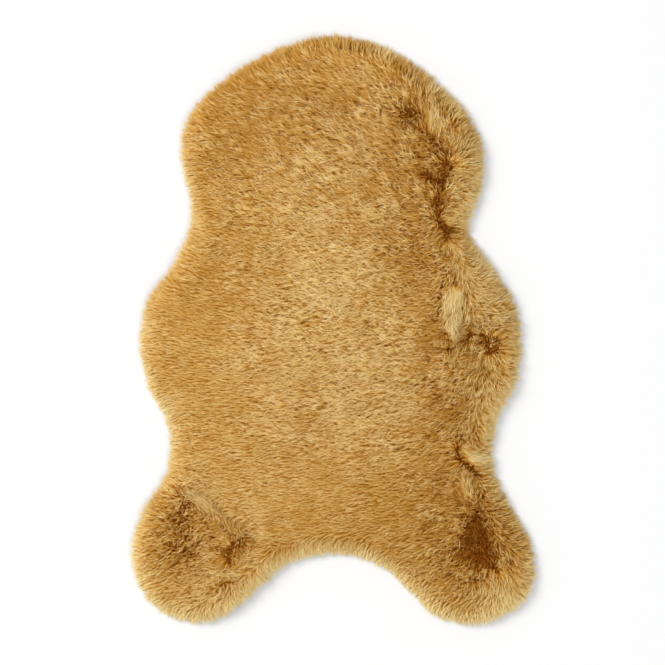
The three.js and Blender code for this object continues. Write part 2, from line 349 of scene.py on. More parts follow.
SHADES = (
    Shade("head spot", 97, 297, 109, 296, 8, 0.05),
    Shade("head spot, middle", 102, 305, 103, 289, 7.5, 0.05),
    Shade("head spot, below", 103, 286, 105, 273, 11, 0.3),
    Shade("head spot, above", 103, 316, 106, 318, 5, 0.4),
    Shade("head spot, left", 71, 301, 68, 301, 5, 0.4),
    Shade("head wedge", 128, 330, 133, 303, 5, -0.55),
    Shade("head wedge, lower", 133, 297, 135, 275, 6.5, -0.95),
    Shade("head parting, start", 116, 267, 128, 267, 3, 1.0),
    Shade("head parting, second", 132, 256, 137, 255, 4.5, 0.6),
    Shade("head parting, third", 137, 251, 154, 245, 4.5, 0.7),
    Shade("head parting, below", 138, 245, 147, 239, 6, 0.4),
    Shade("head parting, fourth", 158, 243, 159, 239, 4.5, 0.6),
    Shade("head parting, above", 154, 275, 156, 265, 3, 0.5),
    Shade("about the head parting", 135, 259, 140, 225, 18, 0.3),
    Shade("heart", 151, 218, 158, 224, 8.5, 1.1),
    Shade("heart, lower", 154, 216, 148, 205, 8.5, 0.9),
    Shade("about the heart", 135, 214, 156, 190, 24, 0.38),
    Shade("about the neck parting", 141, 176, 152, 128, 19, 0.25),
    Shade("about the head spot", 90, 296, 112, 290, 24, 0.5),
    Shade("about the waist parting", 166, -160, 188, -192, 18, 0.2),
    Shade("branch", 124, 210, 132, 203, 4.5, 0.6),
    Shade("branch, inner", 132, 203, 143, 202, 4.5, 0.6),
    Shade("head parting, middle", 147, 199, 143, 180, 6.5, 0.8),
    Shade("head parting, knot", 139, 171, 148, 172, 6.0, 0.8),
    Shade("head parting, lower", 140, 165, 143, 150, 6, 0.9),
    Shade("neck knot", 146, 142, 159, 135, 7, 1.1),
    Shade("neck knot, lower", 151, 131, 152, 120, 5, 0.45),
    Shade("neck spur", 162, 135, 175, 130, 5.5, 0.6),
    Shade("neck fleck", 128, 152, 133, 154, 4, 0.6),
    Shade("beside the head parting", 91, 232, 135, 177, 26, 0.22),
    Shade("right of the head parting", 162, 191, 167, 164, 14, 0.1),
    Shade("back fleck, upper", 128, 20, 140, 20, 3.5, 0.8),
    Shade("back fleck, lower", 129, 14, 135, 13, 3, 0.7),
    Shade("flank fold", 163, 82, 166, 61, 3.5, 0.7),
    Shade("flank fold, left", 150, 80, 156, 77, 4, 0.5),
    Shade("flank ridge, upper", 169, 107, 174, 71, 4.5, -0.15),
    Shade("flank ridge", 174, 71, 177, 58, 5, -0.1),
    Shade("flank patch, top", 155, 44, 166, 46, 7, -1.2),
    Shade("flank patch, middle", 155, 37, 171, 41, 8, -1.2),
    Shade("flank patch, lower", 154, 27, 167, 29, 7, -1.1),
    Shade("flank patch, foot", 162, 17, 159, -1, 6, -1.1),
    Shade("flank patch, fold", 159, 21, 169, 27, 2.3, 1.3),
    Shade("flank patch, crease", 160, 18, 160, 6, 2.3, 0.35),
    Shade("flank patch, right", 178, 54, 170, 30, 3.0, 0.9),
    Shade("flank patch, left", 146, 47, 148, 20, 4.5, 0.7),
    Shade("fork, left", 147, -3, 155, -5, 3.5, 0.6),
    Shade("fork, stem", 155, -5, 154, -16, 3.2, 1.2),
    Shade("fork, foot", 144, -24, 158, -27, 4, 0.7),
    Shade("fork, tuft", 148, -20, 154, -18, 3, -0.9),
    Shade("fork, right", 162, -10, 170, -7, 4, -0.8),
    Shade("below the fork", 133, -29, 133, -43, 3.5, 0.8),
    Shade("below the fork, lower", 135, -47, 137, -52, 3.5, 0.6),
    Shade("below the fork, pale", 137, -36, 146, -56, 4, -0.5),
    Shade("flank whorl", 205, -13, 218, -13, 6.5, 1.35),
    Shade("flank whorl, tuft", 215, -16, 216, -17, 2.4, -1.1),
    Shade("flank whorl, lower", 208, -28, 222, -28, 5.0, 0.8),
    Shade("flank whorl, left", 181, -13, 186, -5, 4.5, 0.35),
    Shade("flank whorl, between", 196, -10, 199, -9, 4, 0.5),
    Shade("about the flank whorl", 186, -10, 220, -20, 18, 0.6),
    Shade("flank whorl, above", 216, 12, 218, 6, 3, 0.5),
    Shade("below the flank whorl", 180, -47, 214, -61, 26, 0.2),
    Shade("flank fleck", 227, 59, 227, 50, 3.5, 0.6),
    Shade("loin fleck, left", 150, -114, 154, -118, 3.5, 0.6),
    Shade("loin fleck, right", 193, -129, 197, -131, 3.5, 0.3),
    Shade("waist fleck", 193, -145, 200, -156, 3.5, 0.5),
    Shade("waist parting, above", 169, -115, 170, -156, 5, 0.35),
    Shade("waist parting, upper", 167, -161, 171, -175, 6.0, 0.8),
    Shade("waist parting, bend", 171, -175, 181, -180, 6.0, 0.6),
    Shade("waist parting", 181, -182, 189, -187, 6.0, 0.8),
    Shade("waist parting, end", 190, -190, 197, -197, 4.5, 0.8),
    Shade("waist tongue", 180, -163, 192, -173, 4, -0.7),
    Shade("waist tongue, tip", 192, -173, 214, -176, 5.5, -1.0),
    Shade("thigh patch", 180, -202, 180, -222, 5, -0.7),
    Shade("thigh patch, right", 197, -209, 203, -214, 4, -0.5),
    Shade("thigh fleck", 177, -226, 185, -228, 3.2, 0.9),
    Shade("thigh fleck, lower", 177, -235, 186, -235, 3, 0.8),
    Shade("thigh fleck, right", 196, -221, 200, -226, 4, 0.7),
    Shade("thigh fleck, far", 143, -220, 144, -221, 4, 0.5),
    Shade("right leg, top", 194, -247, 194, -260, 5, 1.1),
    Shade("right leg heart, upper", 188, -263, 201, -277, 9, 1.0),
    Shade("right leg heart", 186, -289, 203, -299, 14, 1.6),
    Shade("about the right leg heart", 194, -265, 197, -309, 24, 0.65),
    Shade("right leg ring", 166, -299, 227, -301, 34, 0.35),
    Shade("right leg spot", 215, -319, 222, -324, 4.5, 1.3),
    Shade("right leg dot", 158, -271, 158, -273, 2.8, 1.1),
    Shade("right leg fleck", 177, -266, 184, -263, 3.5, 0.8),
    Shade("right leg fold", 184, -339, 193, -335, 3, 0.8),
    Shade("right leg fold, right", 193, -335, 204, -339, 3, 0.8),
    Shade("right foot fleck", 182, -354, 184, -361, 3, 0.6),
    Shade("right leg, outer fleck", 238, -312, 243, -315, 4, 0.6),
    Shade("left leg, upper", -211, -236, -192, -236, 11, 0.2),
    Shade("left leg, middle", -219, -256, -200, -254, 11, 0.35),
    Shade("left leg, middle, below", -211, -265, -208, -271, 6, 0.35),
    Shade("left leg, lower", -219, -292, -194, -296, 12, 0.35),
    Shade("about the left leg", -211, -244, -205, -305, 34, 0.3),
    Shade("left leg, outer fleck", -241, -274, -235, -278, 5, 0.5),
    Shade("left leg, right fleck", -174, -258, -165, -285, 8, 0.3),
    Shade("left leg spot", -143, -297, -140, -312, 6, 0.9),
    Shade("left leg spot, arm", -136, -293, -122, -285, 6, 0.6),
    Shade("left leg spot, left", -151, -299, -146, -300, 4, 0.8),
    Shade("about the left leg spot", -154, -292, -126, -288, 16, 0.35),
    Shade("bay fleck", -88, -294, -88, -296, 3, 0.6),
    Shade("left foot fold", -160, -349, -140, -339, 4, 0.7),
    Shade("left foot fleck", -184, -328, -165, -330, 5, 0.4),
    Shade("left leg ridge, start", -224, -205, -199, -211, 4, -0.15),
    Shade("left leg ridge, upper", -199, -211, -171, -232, 4, -0.2),
    Shade("left leg ridge", -171, -232, -151, -256, 3.5, -0.2),
    Shade("left leg ridge, lower", -151, -256, -126, -273, 3.5, -0.2),
    Shade("left leg ridge, end", -126, -273, -97, -275, 4, -0.3),
    Shade("below the left leg ridge", -146, -266, -129, -277, 3, 0.6),
    Shade("left leg, pale", -177, -269, -173, -296, 4.5, -0.35),
    Shade("neck fleck, left", -170, 255, -167, 255, 4, 0.5),
    Shade("loin fleck, far left", -237, -52, -237, -55, 4, 0.5),
    Shade("rump fleck", -90, -206, -87, -207, 3.5, 0.7),
)


@dataclass(frozen=True)
class Region(Line):
    """A broad part of the rug: how far its pile is from the usual tone, and how ruffled it is. At the rim the
    tint is painted light, and painted shade where it is below 0.
    """

    reach: float
    tint: float
    ruffle: float = 0.0


# The rows named for a rim paint light onto rims that the lamps reach too little (tint above 0) and paint
# shade onto rims that they light too much (tint below 0).
REGIONS = (
    Region("head, left", -140, 313, -154, 218, 75, -0.17),
    Region("crown", -40, 350, 20, 350, 60, -0.1, 0.15),
    Region("crown, middle", -15, 325, -5, 300, 36, -0.07),
    Region("head", -40, 220, 30, 250, 60, -0.07, 0.4),
    Region("flank, upper", 185, 90, 190, 40, 30, 0.02, 0.2),
    Region("left thigh", -230, -270, -240, -300, 34, -0.1),
    Region("left leg, inner", -110, -280, -90, -275, 30, -0.1),
    Region("neck, left", -140, 116, -120, 50, 50, -0.09, -0.1),
    Region("left side", -190, 10, -190, -70, 60, -0.05, -0.62),
    Region("back", -18, 123, -18, -130, 85, 0.06, 0.2),
    Region("loin, left", -110, -190, -60, -230, 90, 0.0, -0.5),
    Region("loin", 20, -230, 60, -240, 80, -0.06, -0.4),
    Region("below the head spot", 77, 290, 90, 270, 34, -0.07, 0.1),
    Region("neck, right", 100, 218, 102, 96, 42, -0.25, 0.5),
    Region("back, right", 118, 40, 139, -54, 32, -0.06, 0.2),
    Region("flank, lower", 178, -30, 180, -95, 36, -0.12),
    Region("loin, right", 150, -110, 146, -190, 32, -0.13),
    Region("rump, right", 146, -200, 159, -300, 38, -0.15),
    Region("rump", 100, -231, 91, -285, 40, -0.05),
    Region("right of the neck, lower", 190, 105, 196, 75, 26, 0.12),
    Region("head, lower right", 104, 262, 116, 240, 26, -0.09, 0.2),
    Region("left foot, inner", -92, -332, -110, -350, 24, 0.22),
    Region("right foot, outer", 230, -362, 215, -374, 22, 0.16),
    Region("right of the crown, rim", 160, 304, 146, 332, 16, 0.32),
    Region("crown, right rim", 92, 368, 70, 378, 14, 0.28),
    Region("back, lower right", 130, -50, 136, -110, 26, -0.06),
    Region("left waist, upper", -186, 170, -170, 158, 24, 0.07),
    Region("right waist, rim", 211, -92, 214, -112, 18, 0.1),
    Region("left shoulder, rim", -240, 80, -246, 30, 16, -0.16),
    Region("left foot, rim", -264, -306, -240, -350, 20, 0.14),
    Region("left foot, bottom rim", -190, -374, -110, -376, 22, 0.22),
    Region("right leg, inner low", 196, -340, 180, -350, 16, -0.1),
    Region("rump, low", 155, -280, 160, -296, 20, -0.08),
    Region("right leg, low", 195, -345, 196, -352, 14, -0.05),
    Region("right foot, inner", 120, -310, 136, -336, 22, 0.09),
    Region("head, middle", -58, 234, -40, 310, 30, -0.09),
    Region("shoulders, left", -60, 92, -48, 100, 26, -0.07),
    Region("back, low", -6, -80, -30, -145, 28, -0.1),
    Region("right leg, outer rim", 238, -290, 246, -320, 18, -0.08),
    Region("right foot, rim", 150, -378, 230, -372, 20, 0.08),
    Region("flank, outer", 212, -36, 220, -44, 20, -0.12),
    Region("flank, bulge", 186, 10, 192, 0, 18, 0.08),
    Region("flank, middle low", 160, -76, 190, -84, 20, 0.06),
    Region("back, left", -106, -46, -92, -54, 26, 0.06),
    Region("back, left low", -190, -100, -150, -108, 26, 0.06),
    Region("neck, left low", -140, 150, -110, 160, 30, 0.05),
    Region("head spot, left", 58, 262, 68, 256, 20, 0.08),
    Region("head ridge, lower", 128, 252, 142, 242, 16, -0.2),
    Region("head ridge, right", 140, 243, 147, 237, 10, -0.16),
    Region("flank patch, middle", 164, 50, 160, 6, 11, 0.02),
    Region("flank, by the whorl", 178, -18, 182, -22, 12, -0.09),
    Region("flank ridge", 168, 60, 174, 52, 9, -0.18),
    Region("neck, right inner", 128, 160, 142, 130, 16, -0.1),
    Region("right foot, outer rim", 258, -318, 262, -330, 14, 0.14),
    Region("left foot, inner rim", -80, -330, -104, -356, 18, 0.12),
    Region("loin, right of middle", 60, -130, 90, -150, 26, 0.05),
    Region("thigh, left top", -196, -208, -190, -214, 18, 0.14),
    Region("neck, middle right", 30, 128, 60, 118, 30, -0.09),
    Region("neck, left of middle", -130, 140, -80, 132, 26, -0.06),
    Region("head, right of middle", 14, 290, 24, 262, 26, -0.09),
    Region("head, lower spot", 98, 260, 102, 254, 16, -0.1),
    Region("head, right low", 132, 196, 134, 186, 20, -0.1),
    Region("waist, right of the parting", 177, -122, 180, -128, 18, -0.1),
    Region("waist, left of the parting", 166, -196, 162, -200, 16, 0.1),
    Region("rump, left low", -79, -258, -76, -266, 20, 0.08),
    Region("left leg, right of the heart", -167, -264, -166, -270, 12, 0.03),
    Region("neck, far right", 166, 147, 167, 142, 14, 0.08),
    Region("left side, upper rim", -228, 24, -224, 8, 24, 0.06),
    Region("head, right ridge", 139, 300, 141, 292, 16, -0.08),
    Region("head, upper left", -147, 293, -140, 280, 26, -0.05),
    Region("neck, left rim", -194, 138, -196, 130, 16, -0.08),
    Region("back, upper right", 118, 92, 114, 84, 22, -0.06),
    Region("crown, upper right", 78, 330, 84, 324, 16, -0.08),
    Region("crown, upper left", -106, 316, -100, 310, 26, -0.05),
    Region("back, middle right", 50, -2, 54, -10, 24, -0.06),
    Region("flank, by the rim", 213, 12, 212, 4, 16, -0.04),
    Region("loin, low right", 71, -226, 76, -234, 24, 0.05),
    Region("left waist, rim", -226, -100, -222, -110, 18, 0.08),
    Region("by the head parting", 132, 214, 131, 208, 12, 0.08),
    Region("left leg, outer rim", -258, -248, -262, -304, 16, 0.08),
    Region("head, left rim", -186, 300, -140, 348, 16, 0.06),
    Region("flank, left of the patch", 128, 16, 134, -40, 18, -0.1),
    Region("right leg, lower right", 206, -330, 226, -350, 18, 0.08),
    Region("rump, right low", 150, -240, 150, -262, 18, 0.06),
    Region("left waist, by the thigh", -190, -180, -170, -216, 20, -0.06),
    Region("right leg heart", 193, -272, 196, -302, 17, -0.25),
    Region("right leg, outer", 215, -268, 224, -296, 20, -0.18),
    Region("thigh, top", 183, -222, 190, -232, 16, -0.06),
    Region("loin, far right", 150, -180, 140, -200, 22, 0.08),
    Region("left thigh, inner", -190, -212, -110, -240, 26, 0.1),
    Region("neck, right edge", 143, 140, 130, 100, 22, -0.05),
    Region("crown, right", 95, 345, 130, 320, 30, -0.13, 0.3),
    Region("neck, middle", 15, 178, 20, 178, 28, -0.12, 0.1),
    Region("loin, middle", 64, -190, 66, -196, 28, -0.08),
    Region("left leg, outer", -218, -286, -216, -298, 22, -0.12),
    Region("left leg, middle", -140, -272, -136, -306, 28, -0.08),
    Region("right leg, inner", 130, -300, 156, -340, 30, -0.08),
    Region("right foot, nap", 165, -362, 232, -374, 22, 0.06, -0.45),
    Region("left foot, nap", -235, -362, -150, -368, 22, 0.05, -0.2),
    Region("crown, nap", -50, 372, 40, 370, 20, 0.0, -0.2),
    Region("left foot", -250, -340, -130, -388, 26, -0.08),
    Region("right of the neck", 178, 215, 160, 150, 24, 0.06),
    Region("right leg", 190, -250, 200, -350, 60, -0.11, 0.35),
    Region("left leg", -210, -250, -180, -350, 60, -0.09, 0.2),
    Region("flank", 205, 60, 210, -60, 50, -0.03, 0.35),
    Region("right of the head", 150, 320, 190, 180, 40, -0.1, 0.35),
)


def smooth_step(low: float, high: float, values: np.ndarray) -> np.ndarray:
    """Rises softly from 0 at low to 1 at high.

    Args:
        low: the value where the rise starts.
        high: the value where the rise ends.
        values: the values to look up.

    Returns:
        A share from 0 to 1 for each value.
    """
    share = np.clip((values - low) / (high - low), 0.0, 1.0)
    return share * share * (3.0 - 2.0 * share)


class Outline:
    """The rug's outer edge seen from above, as a smooth closed curve through its places."""

    FINE = 1600
    STRETCH_STEPS = 24
    BLOCK = 2000

    def __init__(self, places: tuple[Place, ...]) -> None:
        """Draws the curve.

        Args:
            places: the places that the edge runs through, anticlockwise.
        """
        corners = np.array([[p.x, p.y] for p in places], dtype=float)
        self.edge = self._evenly(self._curve(corners, self.STRETCH_STEPS), self.FINE)
        ahead = np.roll(self.edge, -1, axis=0) - np.roll(self.edge, 1, axis=0)
        ahead /= np.linalg.norm(ahead, axis=1, keepdims=True)
        self.outward = np.column_stack([ahead[:, 1], -ahead[:, 0]])

    @staticmethod
    def _curve(corners: np.ndarray, steps: int) -> np.ndarray:
        """A centripetal curve through the corners.

        Args:
            corners: the corners, one a row.
            steps: how many points each stretch gets.

        Returns:
            The points of the curve, one a row.
        """
        before, after = np.roll(corners, 1, axis=0), np.roll(corners, -1, axis=0)
        beyond = np.roll(corners, -2, axis=0)

        def gap(a: np.ndarray, b: np.ndarray) -> np.ndarray:
            """The square root of the distance between two rows of points."""
            return np.sqrt(np.linalg.norm(b - a, axis=1, keepdims=True))

        first, middle, last = gap(before, corners), gap(corners, after), gap(after, beyond)
        leave = (corners - before) / first - (after - before) / (first + middle)
        leave = (leave + (after - corners) / middle) * middle
        arrive = (after - corners) / middle - (beyond - corners) / (middle + last)
        arrive = (arrive + (beyond - after) / last) * middle
        stretches = []
        for t in np.arange(steps) / steps:
            cubic = (2 * corners - 2 * after + leave + arrive) * t**3
            square = (-3 * corners + 3 * after - 2 * leave - arrive) * t**2
            stretches.append(cubic + square + leave * t + corners)
        return np.stack(stretches, axis=1).reshape(-1, 2)

    @staticmethod
    def _evenly(points: np.ndarray, count: int) -> np.ndarray:
        """The same closed line with evenly spaced points.

        Args:
            points: the points of a closed line.
            count: how many points it gets.

        Returns:
            The new points, one a row.
        """
        closed = np.vstack([points, points[:1]])
        along = np.concatenate([[0.0], np.cumsum(np.linalg.norm(np.diff(closed, axis=0), axis=1))])
        wanted = np.arange(count) / count * along[-1]
        return np.column_stack([np.interp(wanted, along, closed[:, k]) for k in (0, 1)])

    def inset(self, distance: float, count: int) -> np.ndarray:
        """A ring of evenly spaced points inside the edge.

        Args:
            distance: how far inside the edge it lies.
            count: how many points it has.

        Returns:
            The points, one a row.
        """
        return self._evenly(self.edge - distance * self.outward, count)

    def depth(self, points: np.ndarray) -> tuple[np.ndarray, np.ndarray]:
        """How far points lie inside the edge, and which way is out.

        Args:
            points: plan points, one a row.

        Returns:
            The distance of each from the edge, below zero outside it, and the outward
            direction at the nearest place on the edge.
        """
        depths, ways = [], []
        for block in np.array_split(points, max(1, len(points) // self.BLOCK)):
            apart = block[:, None, :] - self.edge[None, :, :]
            nearest = np.argmin((apart**2).sum(axis=2), axis=1)
            way = self.outward[nearest]
            depths.append(-(apart[np.arange(len(block)), nearest] * way).sum(axis=1))
            ways.append(way)
        return np.concatenate(depths), np.vstack(ways)


@dataclass(frozen=True)
class PileForm:
    """The height that the pile reaches."""

    height: float = 25.0

    def top(self, points: np.ndarray) -> np.ndarray:
        """The height of the pile's top well inside its edge.

        Args:
            points: plan points, one a row.

        Returns:
            The height above the floor at each point.
        """
        rise = np.full(len(points), self.height)
        for swell in SWELLS:
            rise += swell.rise_at(points)
        for fold in FOLDS:
            rise += fold.rise * fold.felt(points, fold.reach)
        return rise


@dataclass(frozen=True)
class Comb:
    """The way the pile lies: the heading of its tips, how far it leans, its shade, and the light and shade
    painted on its rims.
    """

    heading_reach: float = 52.0
    lean: float = 0.56
    flat_lean: float = 0.95
    rim_full: float = 7.0
    rim_start: float = 34.0
    # The rim is painted paler (painted light): paler all round, more on the left rims that face the key
    # light, and more on the right and low rims that the lamps reach too little. The top rim's share is below
    # 0, which paints it darker (painted shade).
    painted_light_full: float = 4.0
    painted_light_start: float = 30.0
    rim_painted_light: float = 0.12
    left_painted_light: float = 0.12
    right_painted_light: float = 0.12
    low_painted_light: float = 0.32
    high_painted_light: float = -0.22
    calm: float = 0.35

    def heading(self, points: np.ndarray) -> np.ndarray:
        """The pile's general heading between the named places.

        Args:
            points: plan points, one a row.

        Returns:
            A unit vector for each point.
        """
        total = np.zeros_like(points)
        for row in HEADINGS:
            apart = ((points - (row.x, row.y)) ** 2).sum(axis=1)
            weight = np.exp(-apart / (2 * self.heading_reach**2)) + TINY
            angle = math.radians(row.degrees)
            total += weight[:, None] * (math.cos(angle), math.sin(angle))
        return total / np.linalg.norm(total, axis=1, keepdims=True)

    def lean_at(self, points: np.ndarray) -> np.ndarray:
        """The lean of the pile.

        Args:
            points: plan points, one a row.

        Returns:
            The lean as a plan vector, from 0 upright to 1 lying over.
        """
        lean = self.heading(points) * self.lean
        for mark in COMB_MARKS:
            weight = mark.strength * mark.felt(points, mark.reach)[:, None]
            lean = lean * (1 - weight) + mark.push(points, self.flat_lean) * weight
        depth, outward = OUTLINE.depth(points)
        rim = (1 - smooth_step(self.rim_full, self.rim_start, depth))[:, None]
        return lean * (1 - rim) + outward * rim

    def shade_at(self, points: np.ndarray) -> np.ndarray:
        """How dark the pile is: darker fibre and painted shade in the partings, paler hair and painted sheen
        where it lies lengthwise.

        Args:
            points: plan points, one a row.

        Returns:
            A number for each point, above 0 for dark and below 0 for pale.
        """
        shade = np.zeros(len(points))
        for mark in SHADES:
            shade += mark.depth * mark.felt(points, mark.spread)
        return shade

    def tint_at(self, points: np.ndarray) -> np.ndarray:
        """How far the pile is from its usual tone in the broad parts of the rug, with the light and shade
        painted at its rim.

        Args:
            points: plan points, one a row.

        Returns:
            A number for each point, above 0 for paler and below 0 for darker.
        """
        tint = np.zeros(len(points))
        for part in REGIONS:
            tint += part.tint * part.felt(points, part.reach)
        depth, outward = OUTLINE.depth(points)
        # Painted light at the rim: paler or darker according to which way the rim faces the lamps.
        rim = 1 - smooth_step(self.painted_light_full, self.painted_light_start, depth)
        left, right = np.clip(-outward[:, 0], 0.0, 1.0), np.clip(outward[:, 0], 0.0, 1.0)
        low, high = np.clip(-outward[:, 1], 0.0, 1.0), np.clip(outward[:, 1], 0.0, 1.0)
        pale = self.rim_painted_light + self.left_painted_light * left + self.right_painted_light * right
        pale = pale + self.low_painted_light * low + self.high_painted_light * high
        return tint + rim * pale

    def ruffle_at(self, points: np.ndarray) -> np.ndarray:
        """How ruffled the pile is.

        Args:
            points: plan points, one a row.

        Returns:
            A number for each point, 1 where the pile is as usual and lower where it is smooth.
        """
        ruffle = np.ones(len(points))
        for part in REGIONS:
            ruffle += part.ruffle * part.felt(points, part.reach)
        for mark in COMB_MARKS:
            if mark.kind is ALONG:
                ruffle *= 1 - self.calm * mark.felt(points, mark.reach)
        return ruffle


OUTLINE = Outline(EDGE)
FORM = PileForm()
COMB = Comb()


class Nodes:
    """A short way to lay out the nodes of one material or node group."""

    def __init__(self, tree: bpy.types.NodeTree) -> None:
        """Takes a node tree to build in."""
        self.tree = tree

    def add(self, kind: str, **settings: object) -> bpy.types.Node:
        """Adds a node.

        Args:
            kind: Blender's name for the node's type.
            settings: the node's own properties.

        Returns:
            The new node.
        """
        node = self.tree.nodes.new(kind)
        for name, value in settings.items():
            setattr(node, name, value)
        return node

    def join(self, start: Socket, end: Socket) -> None:
        """Links an output to an input."""
        self.tree.links.new(start, end)

    def feed(self, socket: Socket, value: object) -> None:
        """Gives an input a link or a plain value.

        Args:
            socket: the input.
            value: an output to link, or a value to set.
        """
        if isinstance(value, Socket):
            self.join(value, socket)
        else:
            socket.default_value = value

    def maths(self, operation: str, *values: object) -> Socket:
        """Adds one step of arithmetic.

        Args:
            operation: Blender's name for the step.
            values: its inputs, as outputs to link or numbers.

        Returns:
            The result's output.
        """
        node = self.add("ShaderNodeMath", operation=operation)
        for socket, value in zip(node.inputs, values):
            self.feed(socket, value)
        return node.outputs[0]

    def vector(self, operation: str, *values: object, scale: object = None) -> Socket:
        """Adds one step of vector arithmetic.

        Args:
            operation: Blender's name for the step.
            values: its vector inputs.
            scale: the scale input, where the step has one.

        Returns:
            The result's output.
        """
        node = self.add("ShaderNodeVectorMath", operation=operation)
        for socket, value in zip(node.inputs, values):
            self.feed(socket, value)
        if scale is not None:
            self.feed(node.inputs["Scale"], scale)
        return node.outputs["Value"] if operation == "DOT_PRODUCT" else node.outputs[0]

    def scaled(self, vector: Socket, scale: object) -> Socket:
        """A vector times a number."""
        return self.vector("SCALE", vector, scale=scale)

    def kept(self, value: Socket, low: float, high: float) -> Socket:
        """A number kept between two others."""
        return self.maths("MINIMUM", self.maths("MAXIMUM", value, low), high)

    def parts(self, vector: Socket) -> tuple[Socket, ...]:
        """Takes a vector apart.

        Args:
            vector: the vector's output.

        Returns:
            The outputs of its three parts.
        """
        node = self.add("ShaderNodeSeparateXYZ")
        self.join(vector, node.inputs[0])
        return tuple(node.outputs)

    def whole(self, x: object, y: object, z: object) -> Socket:
        """Puts a vector together.

        Args:
            x: its first part, as an output to link or a number.
            y: its second part.
            z: its third part.

        Returns:
            The vector's output.
        """
        node = self.add("ShaderNodeCombineXYZ")
        for socket, value in zip(node.inputs, (x, y, z)):
            self.feed(socket, value)
        return node.outputs[0]

    def noise(self, where: Socket, scale: float, detail: float) -> bpy.types.Node:
        """Adds a soft random pattern.

        Args:
            where: the place to look it up.
            scale: how many times it changes in a metre.
            detail: how many finer layers it has.

        Returns:
            The pattern's node.
        """
        node = self.add("ShaderNodeTexNoise", noise_dimensions="3D")
        self.join(where, node.inputs["Vector"])
        node.inputs["Scale"].default_value = scale
        node.inputs["Detail"].default_value = detail
        return node

    def blend(self, share: Socket, first: Socket, second: Socket) -> Socket:
        """Blends two colours.

        Args:
            share: how much of the second colour there is, kept between 0 and 1.
            first: the first colour.
            second: the second colour.

        Returns:
            The blend's output.
        """
        node = self.add("ShaderNodeMix", data_type="RGBA", clamp_factor=True)
        for place, value in ((0, share), (6, first), (7, second)):
            self.join(value, node.inputs[place])
        return node.outputs[2]

    def ramp(self, share: Socket, stops: Stops) -> Socket:
        """Adds a ramp of colours.

        Args:
            share: the output that looks the colour up.
            stops: a place from 0 to 1 and a colour for each stop.

        Returns:
            The colour's output.
        """
        ramp = self.add("ShaderNodeValToRGB")
        elements = ramp.color_ramp.elements
        while len(elements) < len(stops):
            elements.new(0.5)
        for element, (place, colour) in zip(elements, stops):
            element.position = place
            element.color = (*colour, 1.0)
        self.join(share, ramp.inputs["Fac"])
        return ramp.outputs["Color"]

    def bump(self, height: Socket, strength: float, distance: float) -> Socket:
        """Adds a fine relief.

        Args:
            height: the relief's height, from 0 to 1.
            strength: how strongly it shows.
            distance: how deep it is, in metres.

        Returns:
            The relief's output, for a surface's normal.
        """
        bump = self.add("ShaderNodeBump")
        bump.inputs["Strength"].default_value = strength
        bump.inputs["Distance"].default_value = distance
        self.join(height, bump.inputs["Height"])
        return bump.outputs["Normal"]


def start_finish(name: str, roughness: float,
                 shine: float = 0.0) -> tuple[bpy.types.Material, Nodes, bpy.types.Node]:
    """Starts a finish.

    Args:
        name: the material's name.
        roughness: how dull its surface is.
        shine: how strong its plain reflections are.

    Returns:
        The material, its nodes, and the node of its surface.
    """
    material = bpy.data.materials.new(name)
    material.use_nodes = True
    surface = material.node_tree.nodes["Principled BSDF"]
    surface.inputs["Roughness"].default_value = roughness
    surface.inputs["Specular IOR Level"].default_value = shine
    return material, Nodes(material.node_tree), surface


@dataclass(frozen=True)
class PileFinish:
    """The dyed fibre of the hairs, from root to tip, in the dark, middle and pale of the pile. The darker
    roots and paler tips are partly the dye and partly painted shade low in the pile and painted light on the
    tips.
    """

    name: str = "golden_pile"
    roughness: float = 0.62
    # Each ramp runs root, middle, tip: the dark root is partly painted shade, and the pale tip partly painted
    # light.
    dark: Stops = (
        (0.0, (0.08, 0.014, 0.001)),
        (0.5, (0.195, 0.047, 0.004)),
        (1.0, (0.44, 0.158, 0.010)),
    )
    middle: Stops = (
        (0.0, (0.42, 0.150, 0.012)),
        (0.55, (0.565, 0.274, 0.035)),
        (1.0, (0.76, 0.488, 0.148)),
    )
    pale: Stops = (
        (0.0, (0.72, 0.405, 0.095)),
        (0.5, (0.86, 0.620, 0.225)),
        (1.0, (0.945, 0.812, 0.495)),
    )

    def material(self) -> bpy.types.Material:
        """Makes the material, whose colour follows the piece's own map.

        Returns:
            The new material.
        """
        material, nodes, surface = start_finish(self.name, self.roughness)
        where = nodes.add("ShaderNodeUVMap", uv_map=UV_NAME)
        tone, along, _ = nodes.parts(where.outputs["UV"])
        dark, middle, pale = (nodes.ramp(along, stops) for stops in (self.dark, self.middle, self.pale))
        lower = nodes.blend(nodes.maths("MULTIPLY", tone, 2.0), dark, middle)
        upper = nodes.blend(nodes.maths("MULTIPLY_ADD", tone, 2.0, -1.0), lower, pale)
        nodes.join(upper, surface.inputs["Base Color"])
        return material


